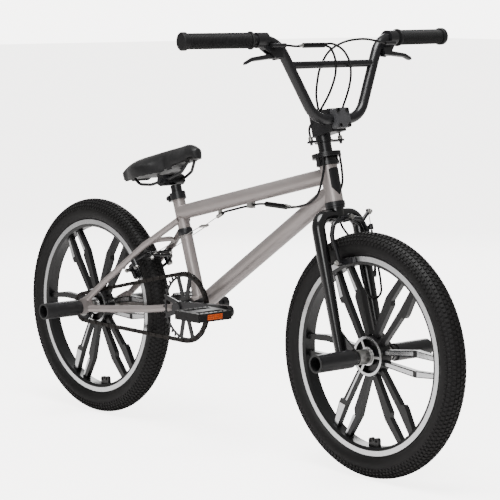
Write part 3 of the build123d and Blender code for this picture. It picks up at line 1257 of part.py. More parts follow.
def nodes():
    """Every named sub-part with its solids."""
    parts = {
        "head_tube": head_tube(), "top_tube": top_tube(), "down_tube": down_tube(), "seat_tube": seat_tube(),
        "bb_shell": bb_shell(), "chainstays": [chainstay(-1), chainstay(1)],
        "seatstays": [seatstay(-1), seatstay(1), seatstay_bridge()], "rear_dropouts": dropouts(),
        "rear_brake_posts": [brake_post(-1), brake_post(1)], "headset_cups": headset_cups(),
        "frame_bearings": headset_bearings() + bb_bearings(), "seat_clamp": [seat_clamp(), seat_clamp_bolt()],
        "cable_guides": cable_hardware(), "gyro_bottom_plate": gyro_bottom_plate(),
        "rear_axle": [axle_with_locknuts(REAR_X, REAR_SPACING)] + axle_nuts(REAR_X, REAR_SPACING),
        "rear_pegs": [peg(REAR_X, REAR_SPACING, -1), peg(REAR_X, REAR_SPACING, 1)],
        "rear_cable": lower_cables() + lower_joiner() + rear_cable(), "chain": chain(),
        "gyro_lower_ring": gyro_lower_ring(), "rear_cable_yoke": yoke(),
        "rear_brake_arm_right": [rear_arm(-1), rear_pad(-1)],
        "rear_brake_arm_left": [rear_arm(1), rear_pad(1)],
        "seat_post": seat_post(), "saddle_clamp": [saddle_clamp()] + saddle_clamp_bolt(),
        "saddle_rails": saddle_rails(), "saddle_shell": saddle_shell(), "saddle_cover": saddle_cover(),
        "fork": fork(), "headset_races": [crown_race(), top_race(), spacer(), stem_low_ring()],
        "gyro_top_plate": [gyro_top_plate()] + gyro_adjusters(), "gyro_upper_ring": gyro_upper_ring(),
        "stem_body": stem(), "stem_front_cap": stem_cap(), "stem_bolts": stem_bolts() + [stem_top_cap()],
        "handlebar": handlebar(), "handlebar_crossbar": crossbar(),
        "grips": [grip(-1), grip(1)],
        "brake_lever_brackets": [lever_perch(-1), lever_perch(1), lever_pin(-1), lever_pin(1)],
        "brake_lever_right": lever_blade(-1), "brake_lever_left": lever_blade(1),
        "upper_cables": lever_cable_right() + upper_joiner() + upper_cables(), "front_cable": front_cable(),
        "front_axle": [axle_with_locknuts(FRONT_X, FRONT_SPACING)] + axle_nuts(FRONT_X, FRONT_SPACING),
        "front_pegs": [peg(FRONT_X, FRONT_SPACING, -1), peg(FRONT_X, FRONT_SPACING, 1)],
        "front_brake_bolt": front_brake_bolt(),
        "front_brake_arm_right": [front_arm(-1), front_pad(-1)],
        "front_brake_arm_left": [front_arm(1), front_pad(1)],
        "front_wheel": placed(wheel_casting(FRONT_VALVE_ANGLE), FRONT_X, 0),
        "front_hub": placed([hub_shell(FRONT_FACE, FRONT_FACE)] + hub_bearings(FRONT_FACE), FRONT_X, 0),
        "front_tyre": placed([tyre(), inner_tube(FRONT_VALVE_ANGLE)], FRONT_X, 0),
        "rear_wheel": placed(wheel_casting(REAR_VALVE_ANGLE), REAR_X, REAR_WHEEL_TURN),
        "rear_hub": placed([hub_shell(REAR_FACE, REAR_FACE)] + hub_bearings(REAR_FACE), REAR_X, 0)
        + [freewheel_body()],
        "rear_tyre": placed([tyre(), inner_tube(REAR_VALVE_ANGLE)], REAR_X, REAR_WHEEL_TURN),
        "freewheel_cog": freewheel_cog(),
        "crank_arms": [crank_arm(-1), crank_arm(1)] + crank_caps(), "crank_spindle": spindle(),
        "chainring": [chainring(), chainring_bolt()], "pedal_spindles": [pedal_spindle(-1), pedal_spindle(1)],
        "pedal_right": [pedal_body(-1)] + pedal_reflectors(-1),
        "pedal_left": [pedal_body(1)] + pedal_reflectors(1),
    }
    return parts


for node, shapes in nodes().items():
    shapes = shapes if isinstance(shapes, list) else [shapes]
    solids = [solid for shape in shapes for solid in shape.solids()]
    export_step(Compound(label=node, children=solids), f"parts/{node}.step")
    print(node, len(solids), round(sum(solid.volume for solid in solids)))
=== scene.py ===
# %% [markdown]
# # A freestyle BMX bicycle
# The bicycle's hard parts come from an engineering model, in metres, standing on the ground with
# +X forward and +Z up. This lesson gives each part its real finish, and makes the pieces whose
# shape an engineering model only blocks out: tread knobs, ribbed grips, the padded saddle, the
# machined faces of the cast wheels and the small screws.

# %% Load the model
import math
import bmesh
import bpy
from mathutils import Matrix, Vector


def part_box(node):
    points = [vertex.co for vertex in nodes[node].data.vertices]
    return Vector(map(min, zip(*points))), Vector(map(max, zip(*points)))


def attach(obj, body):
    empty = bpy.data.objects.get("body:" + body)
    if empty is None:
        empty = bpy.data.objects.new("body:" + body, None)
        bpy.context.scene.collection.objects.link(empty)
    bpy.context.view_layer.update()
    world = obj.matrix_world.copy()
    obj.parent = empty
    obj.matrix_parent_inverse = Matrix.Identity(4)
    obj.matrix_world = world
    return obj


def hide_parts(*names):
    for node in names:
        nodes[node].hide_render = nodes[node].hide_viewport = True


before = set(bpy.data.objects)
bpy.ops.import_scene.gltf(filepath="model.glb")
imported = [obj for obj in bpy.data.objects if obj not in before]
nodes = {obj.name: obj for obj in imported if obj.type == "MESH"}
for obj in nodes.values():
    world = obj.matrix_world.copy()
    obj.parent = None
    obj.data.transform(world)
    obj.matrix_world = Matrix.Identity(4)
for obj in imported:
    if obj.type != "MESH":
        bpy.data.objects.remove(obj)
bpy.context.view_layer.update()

# %% [markdown]
# Every colour below is written as the hex value that a paint chart or a screen shows. Blender mixes
# light in linear values, so one function turns hex to linear. A second function adds a shader node
# with its settings and links, which keeps each finish down to a few readable lines.

# %% Colour and node helpers
def linear(hex_colour):
    channels = []
    for place in (1, 3, 5):
        value = int(hex_colour[place:place + 2], 16) / 255
        channels.append(value / 12.92 if value <= 0.04045 else ((value + 0.055) / 1.055) ** 2.4)
    return (*channels, 1.0)


def add_node(tree, kind, settings=None, links=None):
    """Adds a node. settings are attributes or input values, links are input: output socket."""
    node = tree.nodes.new(kind)
    for name, value in (settings or {}).items():
        if isinstance(name, str) and hasattr(node, name):
            setattr(node, name, value)
        else:
            node.inputs[name].default_value = value
    for name, socket in (links or {}).items():
        tree.links.new(socket, node.inputs[name])
    return node


def new_finish(name, settings):
    """A material with a Principled shader, its tree and the Object coordinates of the piece."""
    material = bpy.data.materials.new(name)
    material.use_nodes = True
    tree = material.node_tree
    shader = tree.nodes["Principled BSDF"]
    for socket, value in settings.items():
        shader.inputs[socket].default_value = value
    place = add_node(tree, "ShaderNodeTexCoord").outputs["Object"]
    return material, tree, shader, place


# %% [markdown]
# Powder coat is paint baked from dry powder. It leaves a fine orange peel, a few tenths of a
# millimetre across, that is drawn here at 1.2 mm so that it shows. The same recipe with other
# numbers gives the matte frame, the glossy fork and the satin black of the small parts.

# %% Painted metals
def powder_coat(name, low, high, roughness, peel_mm=1.2, bump=0.12, coat=0.0, flake=0.0):
    material, tree, shader, place = new_finish(name, {
        "Metallic": flake, "Coat Weight": coat, "Coat Roughness": 0.08, "IOR": 1.5, "Specular IOR Level": 0.42})
    cloud = add_node(tree, "ShaderNodeTexNoise", {"Scale": 9.0, "Detail": 3.0}, {"Vector": place})
    tint = add_node(tree, "ShaderNodeMix", {"data_type": "RGBA"})
    tint.inputs[6].default_value, tint.inputs[7].default_value = linear(low), linear(high)
    tree.links.new(cloud.outputs["Fac"], tint.inputs[0])
    tree.links.new(tint.outputs[2], shader.inputs["Base Color"])
    wear = add_node(tree, "ShaderNodeMapRange", {"From Min": 0.3, "From Max": 0.7, "To Min": roughness - 0.05,
                                                 "To Max": roughness + 0.07}, {"Value": cloud.outputs["Fac"]})
    tree.links.new(wear.outputs["Result"], shader.inputs["Roughness"])
    peel = add_node(tree, "ShaderNodeTexNoise", {"Scale": 1000 / peel_mm, "Detail": 1.0}, {"Vector": place})
    relief = add_node(tree, "ShaderNodeBump", {"Strength": bump, "Distance": 0.0003}, {"Height": peel.outputs["Fac"]})
    tree.links.new(relief.outputs["Normal"], shader.inputs["Normal"])
    print("finish", name)
    return material


FRAME_GREY = powder_coat("powder_coat_warm_grey", "#8d8684", "#9a9391", 0.36, flake=0.55)
FORK_BLACK = powder_coat("powder_coat_gloss_black", "#060607", "#0a0a0b", 0.20, bump=0.04, coat=0.35)
SATIN_BLACK = powder_coat("electrocoat_satin_black", "#0e0e10", "#151517", 0.30, bump=0.08)
CAST_BLACK = powder_coat("cast_wheel_black", "#060607", "#0b0b0c", 0.32, peel_mm=2.0, bump=0.12)
PEG_BLACK = powder_coat("peg_black", "#111112", "#19191a", 0.34, bump=0.10)
CAP_GREY = powder_coat("cast_cap_grey", "#343436", "#404042", 0.36, bump=0.10)

# %% [markdown]
# Bare metals need almost no colour work: what the eye reads is how the tool left the surface.
# Machined aluminium on the rims and the wheel's faces has fine turned lines, and steel hardware
# is duller and slightly warm. Both are fully metallic and keep the shader's default IOR.

# %% Bare metals
def bare_metal(name, low, high, roughness, line_mm=0.8, stretch=(1.0, 1.0, 1.0), bump=0.08):
    material, tree, shader, place = new_finish(name, {"Metallic": 1.0})
    lie = add_node(tree, "ShaderNodeMapping", {"Scale": stretch}, {"Vector": place})
    lines = add_node(tree, "ShaderNodeTexNoise", {"Scale": 1000 / line_mm, "Detail": 2.0},
                     {"Vector": lie.outputs["Vector"]})
    stain = add_node(tree, "ShaderNodeTexNoise", {"Scale": 22.0, "Detail": 4.0}, {"Vector": place})
    tint = add_node(tree, "ShaderNodeMix", {"data_type": "RGBA"})
    tint.inputs[6].default_value, tint.inputs[7].default_value = linear(low), linear(high)
    tree.links.new(stain.outputs["Fac"], tint.inputs[0])
    tree.links.new(tint.outputs[2], shader.inputs["Base Color"])
    spread = add_node(tree, "ShaderNodeMapRange", {"To Min": roughness - 0.08, "To Max": roughness + 0.1},
                      {"Value": stain.outputs["Fac"]})
    tree.links.new(spread.outputs["Result"], shader.inputs["Roughness"])
    relief = add_node(tree, "ShaderNodeBump", {"Strength": bump, "Distance": 0.0002},
                      {"Height": lines.outputs["Fac"]})
    tree.links.new(relief.outputs["Normal"], shader.inputs["Normal"])
    print("finish", name)
    return material


MACHINED = bare_metal("machined_aluminium", "#c4c5c7", "#e6e7e8", 0.26)
HARDWARE = bare_metal("zinc_plated_steel", "#8a8987", "#b0afac", 0.32, line_mm=1.5)
CHAIN_STEEL = bare_metal("oiled_chain_steel", "#1e1c1b", "#3b3836", 0.40, line_mm=2.0)
DARK_STEEL = bare_metal("blackened_steel", "#2a2a2b", "#3d3d3e", 0.4, line_mm=1.5)

# %% [markdown]
# Rubber, nylon and vinyl are all dull plastics with an IOR near 1.5. Tyre rubber is a carbon-black
# compound with a dusty bloom. Moulded nylon has a spark-eroded grain. The saddle is covered with
# black vinyl whose leather grain is about a millimetre across, and it has a soft sheen.

# %% Rubber and plastics
def moulded(name, low, high, roughness, grain_mm, bump, sheen=0.0):
    material, tree, shader, place = new_finish(name, {
        "IOR": 1.5, "Sheen Weight": sheen, "Sheen Roughness": 0.5, "Specular IOR Level": 0.22})
    cloud = add_node(tree, "ShaderNodeTexNoise", {"Scale": 14.0, "Detail": 4.0}, {"Vector": place})
    tint = add_node(tree, "ShaderNodeMix", {"data_type": "RGBA"})
    tint.inputs[6].default_value, tint.inputs[7].default_value = linear(low), linear(high)
    tree.links.new(cloud.outputs["Fac"], tint.inputs[0])
    tree.links.new(tint.outputs[2], shader.inputs["Base Color"])
    spread = add_node(tree, "ShaderNodeMapRange", {"To Min": roughness - 0.08, "To Max": roughness + 0.08},
                      {"Value": cloud.outputs["Fac"]})
    tree.links.new(spread.outputs["Result"], shader.inputs["Roughness"])
    grain = add_node(tree, "ShaderNodeTexVoronoi", {"Scale": 1000 / grain_mm}, {"Vector": place})
    relief = add_node(tree, "ShaderNodeBump", {"Strength": bump, "Distance": 0.0004},
                      {"Height": grain.outputs["Distance"]})
    tree.links.new(relief.outputs["Normal"], shader.inputs["Normal"])
    print("finish", name)
    return material


TYRE_RUBBER = moulded("tyre_rubber", "#0b0a0a", "#131212", 0.58, 1.5, 0.10)
GRIP_RUBBER = moulded("grip_rubber", "#0f0f0f", "#171718", 0.50, 1.2, 0.12)
NYLON = moulded("moulded_nylon", "#0d0c0c", "#151414", 0.48, 1.4, 0.20)
SADDLE_VINYL = moulded("saddle_vinyl", "#0b0b0c", "#131314", 0.42, 1.1, 0.22, sheen=0.08)
CABLE_PVC = moulded("cable_housing_vinyl", "#060607", "#0a0a0b", 0.30, 2.0, 0.04)
REFLECTOR = moulded("orange_reflector", "#a03a08", "#c8520f", 0.25, 2.2, 0.3)
BAND_BLACK = moulded("decal_film_black", "#121213", "#19191b", 0.35, 3.0, 0.02)

# %% [markdown]
# An engineering part keeps its shape and only changes its finish. Each name below is a node of the
# model, listed under the finish of the real part.

# %% Give the hard parts their finishes
HARD_FINISHES = [
    (FRAME_GREY, "head_tube top_tube down_tube seat_tube bb_shell chainstays seatstays rear_dropouts"),
    (FORK_BLACK, "fork"),
    (CAST_BLACK, "front_wheel rear_wheel"),
    (SATIN_BLACK, "handlebar handlebar_crossbar crank_arms chainring stem_body headset_cups headset_races "
                  "gyro_bottom_plate gyro_lower_ring gyro_upper_ring gyro_top_plate brake_lever_brackets "
                  "brake_lever_right brake_lever_left seat_post seat_clamp saddle_clamp saddle_rails "
                  "front_brake_arm_right front_brake_arm_left rear_brake_arm_right rear_brake_arm_left"),
    (PEG_BLACK, "front_pegs rear_pegs"),
    (CAP_GREY, "stem_front_cap"),
    (HARDWARE, "front_axle rear_axle rear_brake_posts frame_bearings front_brake_bolt stem_bolts "
               "rear_cable_yoke cable_guides front_hub rear_hub"),
    (DARK_STEEL, "crank_spindle pedal_spindles freewheel_cog"),
    (CHAIN_STEEL, "chain"), (TYRE_RUBBER, "front_tyre rear_tyre"), (GRIP_RUBBER, "grips"),
    (CABLE_PVC, "rear_cable upper_cables front_cable"), (NYLON, "pedal_right pedal_left saddle_shell"),
    (SADDLE_VINYL, "saddle_cover")]


def finish_tree(tree, geometry, material):
    """Makes a tree's copies real, gives them a material and sends them out."""
    real = add_node(tree, "GeometryNodeRealizeInstances", links={"Geometry": geometry})
    coloured = add_node(tree, "GeometryNodeSetMaterial", {"Material": material}, {"Geometry": real.outputs[0]})
    result = add_node(tree, "NodeGroupOutput")
    tree.links.new(coloured.outputs[0], result.inputs[0])
    return tree


def set_finish(piece, material):
    if not piece.material_slots:
        piece.data.materials.append(material)
    for slot in piece.material_slots:
        slot.material = material


for finish, names in HARD_FINISHES:
    for name in names.split():
        set_finish(nodes[name], finish)
print("finished nodes", sum(len(names.split()) for _, names in HARD_FINISHES))

# %% [markdown]
# The bicycle's main places are needed again and again: the two axles, the steering axis and the
# section of the tyre. They are read from the model's own boxes where that is possible.

# %% Main places and piece helpers
MM = 0.001
def middle_of(name):
    low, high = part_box(name)
    return (Vector(low) + Vector(high)) / 2


FRONT_AXLE = middle_of("front_tyre")
REAR_AXLE = middle_of("rear_tyre")
TYRE_OUT = (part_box("front_tyre")[1][2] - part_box("front_tyre")[0][2]) / 2
SECTION = 28 * MM
SECTION_CENTRE = TYRE_OUT - SECTION
WHEELS = {"front": (FRONT_AXLE, "front_wheel_set", 0.0), "rear": (REAR_AXLE, "rear_wheel_set", math.radians(4))}
RAKE = math.radians(75)
STEER_UP = Vector((-math.cos(RAKE), 0, math.sin(RAKE)))
STEER_FORE = Vector((math.sin(RAKE), 0, math.cos(RAKE)))
STEER_FOOT = FRONT_AXLE - STEER_FORE * 32 * MM
print("axles", FRONT_AXLE, REAR_AXLE, "tyre radius", round(TYRE_OUT, 4))


def steer_place(fore, side, level):
    return STEER_FOOT + STEER_FORE * fore * MM + Vector((0, side * MM, 0)) + STEER_UP * level * MM


def make_piece(name, mesh_or_bm, material, body, smooth=None):
    """Turns a bmesh or a mesh into a piece that rides on a body."""
    if isinstance(mesh_or_bm, bmesh.types.BMesh):
        mesh = bpy.data.meshes.new(name)
        bmesh.ops.recalc_face_normals(mesh_or_bm, faces=mesh_or_bm.faces)
        mesh_or_bm.to_mesh(mesh)
        mesh_or_bm.free()
    else:
        mesh = mesh_or_bm
    piece = bpy.data.objects.new(name, mesh)
    bpy.context.scene.collection.objects.link(piece)
    set_finish(piece, material)
    if smooth is not None:
        for face in mesh.polygons:
            face.use_smooth = True
        mesh.set_sharp_from_angle(angle=math.radians(smooth))
    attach(piece, body)
    return piece


def mesh_of(bm, name):
    mesh = bpy.data.meshes.new(name)
    bm.to_mesh(mesh)
    bm.free()
    return mesh


def turned_rings(bm, profile, centre, axis, out, segments, closed=True):
    """Spins a profile of (radius, along) points in millimetres about an axis."""
    side = axis.cross(out)
    rings = []
    for step in range(segments):
        angle = 2 * math.pi * step / segments
        way = out * math.cos(angle) + side * math.sin(angle)
        rings.append([bm.verts.new(centre + way * r * MM + axis * a * MM) for r, a in profile])
    count = len(profile)
    last = count if closed else count - 1
    for step in range(segments):
        here, there = rings[step], rings[(step + 1) % segments]
        for i in range(last):
            j = (i + 1) % count
            bm.faces.new((here[i], here[j], there[j], there[i]))
    return bm


# %% [markdown]
# A BMX tyre is a round carcass with small blocks moulded on it. The carcass is a lathed section with
# fine ribs on the sidewalls. The blocks repeat every few millimetres round the wheel, so one pitch
# of them is drawn once, and a Geometry Nodes tree sets it round the tyre.

# %% Tyre carcass
CARCASS = 25.6            # radius of the carcass's round section, in millimetres
def carcass_profile():
    points = []
    centre = SECTION_CENTRE / MM
    steps = 72
    for step in range(steps + 1):
        angle = math.radians(-142 + 284 * step / steps)
        rib = 0.35 if 62 < abs(math.degrees(angle)) < 112 and step % 2 else 0.0
        points.append((centre + (CARCASS + rib) * math.cos(angle), (CARCASS + rib) * math.sin(angle)))
    points += [(208.9, 13.2), (204.0, 13.2), (204.0, 9.8), (209.5, 9.8), (209.5, -9.8), (204.0, -9.8),
               (204.0, -13.2), (208.9, -13.2)]
    return points


def pitch_of_knobs():
    """The blocks of one pitch: near-square and staggered, with every other row half a pitch further."""
    bm = bmesh.new()
    centre = SECTION_CENTRE / MM
    rows = [(-74, 5.0, 5.4, 0.0), (-57, 6.2, 6.4, 5.4), (-38, 6.6, 6.8, 0.0), (-19, 6.4, 6.8, 5.4),
            (0, 6.6, 7.2, 0.0), (19, 6.4, 6.8, 5.4), (38, 6.6, 6.8, 0.0), (57, 6.2, 6.4, 5.4), (74, 5.0, 5.4, 0.0)]
    for angle, width, length, shift in rows:
        lean = math.radians(angle)
        out = Vector((math.cos(lean), math.sin(lean), 0))
        across = Vector((-math.sin(lean), math.cos(lean), 0))
        base, top = CARCASS - 0.8, SECTION / MM - 0.05
        corners = []
        for height, shrink in ((base, 0.0), (top - 0.5, 0.1), (top, 0.6)):
            for u, v in ((-1, -1), (1, -1), (1, 1), (-1, 1)):
                spot = out * height + across * u * (width / 2 - shrink)
                corners.append(bm.verts.new((centre + spot.x, spot.y, shift + v * (length / 2 - shrink))))
        for low in (0, 4):
            for i in range(4):
                j = (i + 1) % 4
                bm.faces.new((corners[low + i], corners[low + j], corners[low + 4 + j], corners[low + 4 + i]))
        bm.faces.new(corners[8:12])
        bm.faces.new(corners[3::-1])
    bmesh.ops.recalc_face_normals(bm, faces=bm.faces)
    bmesh.ops.scale(bm, vec=(MM, MM, MM), verts=bm.verts)
    return mesh_of(bm, "knob_pitch")


# %% [markdown]
# The tree below takes a piece, a count, a centre and a start angle. It puts a point every few
# degrees on a circle, turns each copy to face outwards, and makes the copies real. It serves for
# the tread and for the flutes of the hubs.

# %% A tree that repeats a piece round an axle
def round_the_axle_tree(material):
    tree = bpy.data.node_groups.new("round_the_axle", "GeometryNodeTree")
    for name, kind in (("Piece", "NodeSocketObject"), ("Count", "NodeSocketInt"), ("Centre", "NodeSocketVector"),
                       ("Start", "NodeSocketFloat")):
        tree.interface.new_socket(name, in_out="INPUT", socket_type=kind)
    tree.interface.new_socket("Mesh", in_out="OUTPUT", socket_type="NodeSocketGeometry")
    given = add_node(tree, "NodeGroupInput")
    points = add_node(tree, "GeometryNodePoints", links={"Count": given.outputs["Count"]})
    index = add_node(tree, "GeometryNodeInputIndex")
    share = add_node(tree, "ShaderNodeMath", {"operation": "DIVIDE"})
    tree.links.new(index.outputs[0], share.inputs[0])
    tree.links.new(given.outputs["Count"], share.inputs[1])
    turn = add_node(tree, "ShaderNodeMath", {"operation": "MULTIPLY_ADD"})
    turn.inputs[1].default_value = -2 * math.pi
    tree.links.new(share.outputs[0], turn.inputs[0])
    tree.links.new(given.outputs["Start"], turn.inputs[2])
    angles = add_node(tree, "ShaderNodeCombineXYZ", links={"Y": turn.outputs[0]})
    part = add_node(tree, "GeometryNodeObjectInfo", links={"Object": given.outputs["Piece"]})
    copies = add_node(tree, "GeometryNodeInstanceOnPoints",
                      links={"Points": points.outputs[0], "Instance": part.outputs["Geometry"],
                             "Rotation": angles.outputs[0]})
    placed = add_node(tree, "GeometryNodeTransform", links={"Geometry": copies.outputs[0],
                                                            "Translation": given.outputs["Centre"]})
    return finish_tree(tree, placed.outputs[0], material)


def run_tree(tree, values, name):
    """Evaluates a tree once and returns its result as a plain mesh."""
    carrier = bpy.data.objects.new(name + "_carrier", bpy.data.meshes.new(name + "_carrier"))
    bpy.context.scene.collection.objects.link(carrier)
    modifier = carrier.modifiers.new("tree", "NODES")
    modifier.node_group = tree
    for item in tree.interface.items_tree:
        if item.item_type == "SOCKET" and item.in_out == "INPUT":
            modifier[item.identifier] = values[item.name]
    bpy.context.view_layer.update()
    graph = bpy.context.evaluated_depsgraph_get()
    mesh = bpy.data.meshes.new_from_object(carrier.evaluated_get(graph), depsgraph=graph)
    carrier.modifiers.remove(modifier)
    bpy.data.objects.remove(carrier)
    mesh.name = name
    print(name, "faces", len(mesh.polygons))
    return mesh


def repeat_round(name, piece_mesh, count, centre, start, material, body, smooth=None):
    source = bpy.data.objects.new(name + "_source", piece_mesh)
    bpy.context.scene.collection.objects.link(source)
    tree = round_the_axle_tree(material)
    mesh = run_tree(tree, {"Piece": source, "Count": count, "Centre": tuple(centre), "Start": start}, name)
    bpy.data.objects.remove(source)
    return make_piece(name, mesh, material, body, smooth)


# %% Both tyres
PITCHES = 150
for wheel, (axle, body, turn) in WHEELS.items():
    bm = bmesh.new()
    turned_rings(bm, carcass_profile(), axle, Vector((0, 1, 0)), Vector((1, 0, 0)), 180)
    for face in bm.faces:
        face.smooth = True
    carcass = make_piece(wheel + "_tyre_carcass", bm, TYRE_RUBBER, body, smooth=50)
    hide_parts(wheel + "_tyre")
    repeat_round(wheel + "_tyre_knobs", pitch_of_knobs(), PITCHES, axle, turn, TYRE_RUBBER, body)

# %% [markdown]
# A tube's valve stands out of the rim towards the hub: a threaded brass stem with a black cap.

# %% Valves
VALVE_ANGLES = {"front": 88, "rear": 26 + 4}
for wheel, (axle, body, turn) in WHEELS.items():
    angle = math.radians(VALVE_ANGLES[wheel])
    inward = Vector((-math.cos(angle), 0, -math.sin(angle)))
    root = axle - inward * 188 * MM
    bm = bmesh.new()
    profile = [(0.01, -4), (3.6, -4), (3.6, 1), (2.6, 2)]
    for thread in range(9):
        profile += [(2.6, 2 + thread), (2.9, 2.5 + thread)]
    profile += [(3.6, 11), (3.8, 12), (3.8, 21), (3.0, 23), (0.01, 23.5)]
    turned_rings(bm, profile, root, inward, Vector((0, 1, 0)), 24, closed=False)
    bmesh.ops.remove_doubles(bm, verts=bm.verts, dist=0.00003)
    make_piece(wheel + "_valve", bm, GRIP_RUBBER, body, smooth=40)

# %% [markdown]
# The cast wheels are painted black and then machined where the metal shows: the brake track on each
# side of the rim, the faces of some spokes and three ribs round the hub. Machining takes off the
# paint in flat bands, so each bright face is a thin flat plate a tenth of a millimetre proud.

# %% Machined faces
def flat_plate(bm, outline, level, thickness, centre, turn):
    """A flat plate square to the axle. outline holds (u, v) in millimetres, level is along Y."""
    ca, sa = math.cos(turn), math.sin(turn)
    def spot(u, v, y):
        return centre + Vector(((u * ca - v * sa) * MM, y * MM, (u * sa + v * ca) * MM))
    low = [bm.verts.new(spot(u, v, level)) for u, v in outline]
    high = [bm.verts.new(spot(u, v, level + thickness)) for u, v in outline]
    bm.faces.new(low)
    bm.faces.new(high)
    for i in range(len(outline)):
        j = (i + 1) % len(outline)
        bm.faces.new((low[i], low[j], high[j], high[i]))


def ring_plate(bm, inner, outer, level, thickness, centre, segments=160):
    profile = [(inner, level), (outer, level), (outer, level + thickness), (inner, level + thickness)]
    turned_rings(bm, profile, centre, Vector((0, 1, 0)), Vector((1, 0, 0)), segments)


HUB_FACE, SPOKE_FACE = 14.0, 6.5     # how far each lies from the wheel's middle plane, in millimetres
INLAYS = [  # direction of the pair in degrees, then each bright strip's corners along and across it
    (0, [[(44, 8), (125, 16.5), (125, 25), (44, 15)], [(136, 15.5), (188, 14), (188, 21), (136, 26)],
         [(44, -8), (125, -16.5), (125, -25), (44, -15)], [(136, -15.5), (188, -14), (188, -21), (136, -26)]]),
    (117, [[(141, 30), (187, 24.5), (187, 18), (141, 22)], [(138, -19.5), (187, -16), (187, -20), (138, -26)]]),
    (243, [[(46, -9), (124, -14), (124, -18), (46, -13)], [(136, -14), (187, -13.5), (187, -24), (140, -31)],
           [(138, 15), (187, 14), (187, 18), (138, 22)]])]
for wheel, (axle, body, turn) in WHEELS.items():
    bm = bmesh.new()
    for side in (-1, 1):
        ring_plate(bm, 197, 207.5, side * 17.0, side * 0.12, axle)
        ring_plate(bm, 36, 41.5, side * HUB_FACE, side * 0.12, axle, 96)
        ring_plate(bm, 15.6, 19.4, side * HUB_FACE, side * 0.12, axle, 64)
        for angle in (0, 120, 240):
            way = math.radians(angle) + turn
            flat_plate(bm, [(19, -2.6), (36.5, -2.6), (36.5, 2.6), (19, 2.6)], side * HUB_FACE, side * 0.12,
                       axle, way)
        for angle, strips in INLAYS:
            for strip in strips:
                flat_plate(bm, strip, side * SPOKE_FACE, side * 0.15, axle, math.radians(angle) + turn)
    make_piece(wheel + "_machined_faces", bm, MACHINED, body)

# %% [markdown]
# The grips are rubber sleeves with a row of fine raised ribs, a thin ring at the inner end and a
# thicker one at the outer end. The rib is drawn once and set along the bar, again with a tree.

# %% Grips
SLEEVE, END_INSET = 168.0, 5.6       # the sleeve's length across the bicycle, and its end's inset
BAR_SLOPE = 32 / 222                 # how far the bar comes forward for each step inwards
FIRST_RIB, RIB_STEP = 8.5, 3.4       # along the sleeve, from its inner end


def grip_line(side):
    """The sloping outer part of the bar: its inner and outer ends."""
    low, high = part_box("grips")
    x_out = low[0] + 18.9 * MM
    z = (low[2] + high[2]) / 2
    outer = Vector((x_out, side * (high[1] - END_INSET * MM), z))
    inner = Vector((x_out + BAR_SLOPE * (SLEEVE - END_INSET) * MM, side * (high[1] - SLEEVE * MM), z))
    return inner, outer


def along_tree(material):
    """Copies of a piece at equal steps from Start along Step."""
    tree = bpy.data.node_groups.new("along_a_line", "GeometryNodeTree")
    for name, kind in (("Piece", "NodeSocketObject"), ("Count", "NodeSocketInt"), ("Start", "NodeSocketVector"),
                       ("Step", "NodeSocketVector")):
        tree.interface.new_socket(name, in_out="INPUT", socket_type=kind)
    tree.interface.new_socket("Mesh", in_out="OUTPUT", socket_type="NodeSocketGeometry")
    given = add_node(tree, "NodeGroupInput")
    line = add_node(tree, "GeometryNodeMeshLine", {"mode": "OFFSET"},
                    {"Count": given.outputs["Count"], "Start Location": given.outputs["Start"],
                     "Offset": given.outputs["Step"]})
    part = add_node(tree, "GeometryNodeObjectInfo", links={"Object": given.outputs["Piece"]})
    copies = add_node(tree, "GeometryNodeInstanceOnPoints",
                      links={"Points": line.outputs[0], "Instance": part.outputs["Geometry"]})
    return finish_tree(tree, copies.outputs[0], material)


for side, word in ((-1, "right"), (1, "left")):
    inner, outer = grip_line(side)
    along = (outer - inner).normalized()
    out = Vector((0, 0, 1))
    length = (outer - inner).length / MM
    bm = bmesh.new()
    profile = [(11.3, 0), (17.5, 0), (18.8, 1.2), (18.8, 3.6), (17.5, 5), (14.6, 5.6), (14.6, length - 9.5),
               (17.6, length - 9), (18.8, length - 7.5), (18.8, length + 0.5), (17.0, length + 2.4),
               (6.0, length + 2.9), (0.05, length + 2.9), (0.05, length + 0.5), (11.3, length + 0.5)]
    turned_rings(bm, profile, inner, along, out, 48)
    bmesh.ops.remove_doubles(bm, verts=bm.verts, dist=0.00002)
    sleeve = make_piece("grip_sleeve_" + word, bm, GRIP_RUBBER, "front_end", smooth=35)
    if side < 0:
        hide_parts("grips")
    bm = bmesh.new()
    rib = [(14.4, -1.0), (16.1, -0.7), (16.4, 0), (16.1, 0.7), (14.4, 1.0)]
    turned_rings(bm, rib, Vector((0, 0, 0)), along, out, 40)
    bmesh.ops.recalc_face_normals(bm, faces=bm.faces)
    source = bpy.data.objects.new("rib_source", mesh_of(bm, "grip_rib"))
    bpy.context.scene.collection.objects.link(source)
    count = int((length - 20) / RIB_STEP)
    values = {"Piece": source, "Count": count, "Start": tuple(inner + along * FIRST_RIB * MM),
              "Step": tuple(along * RIB_STEP * MM)}
    ribs = run_tree(along_tree(GRIP_RUBBER), values, "grip_ribs_" + word)
    bpy.data.objects.remove(source)
    make_piece("grip_ribs_" + word, ribs, GRIP_RUBBER, "front_end", smooth=60)

# %% [markdown]
# The saddle is foam under stretched vinyl, so it is crowned along its middle and its edges roll
# under. The foam block of the model is remeshed into even faces, given a little air pressure as
# cloth, and smoothed, which rounds it the way foam rounds under a cover.

# %% Padded saddle
def saddle_pad():
    source = nodes["saddle_cover"]
    pad = bpy.data.objects.new("saddle_pad", source.data.copy())
    bpy.context.scene.collection.objects.link(pad)
    bm = bmesh.new()
    bm.from_mesh(pad.data)
    bmesh.ops.remove_doubles(bm, verts=bm.verts, dist=0.00005)
    bm.to_mesh(pad.data)
    bm.free()
    return pad


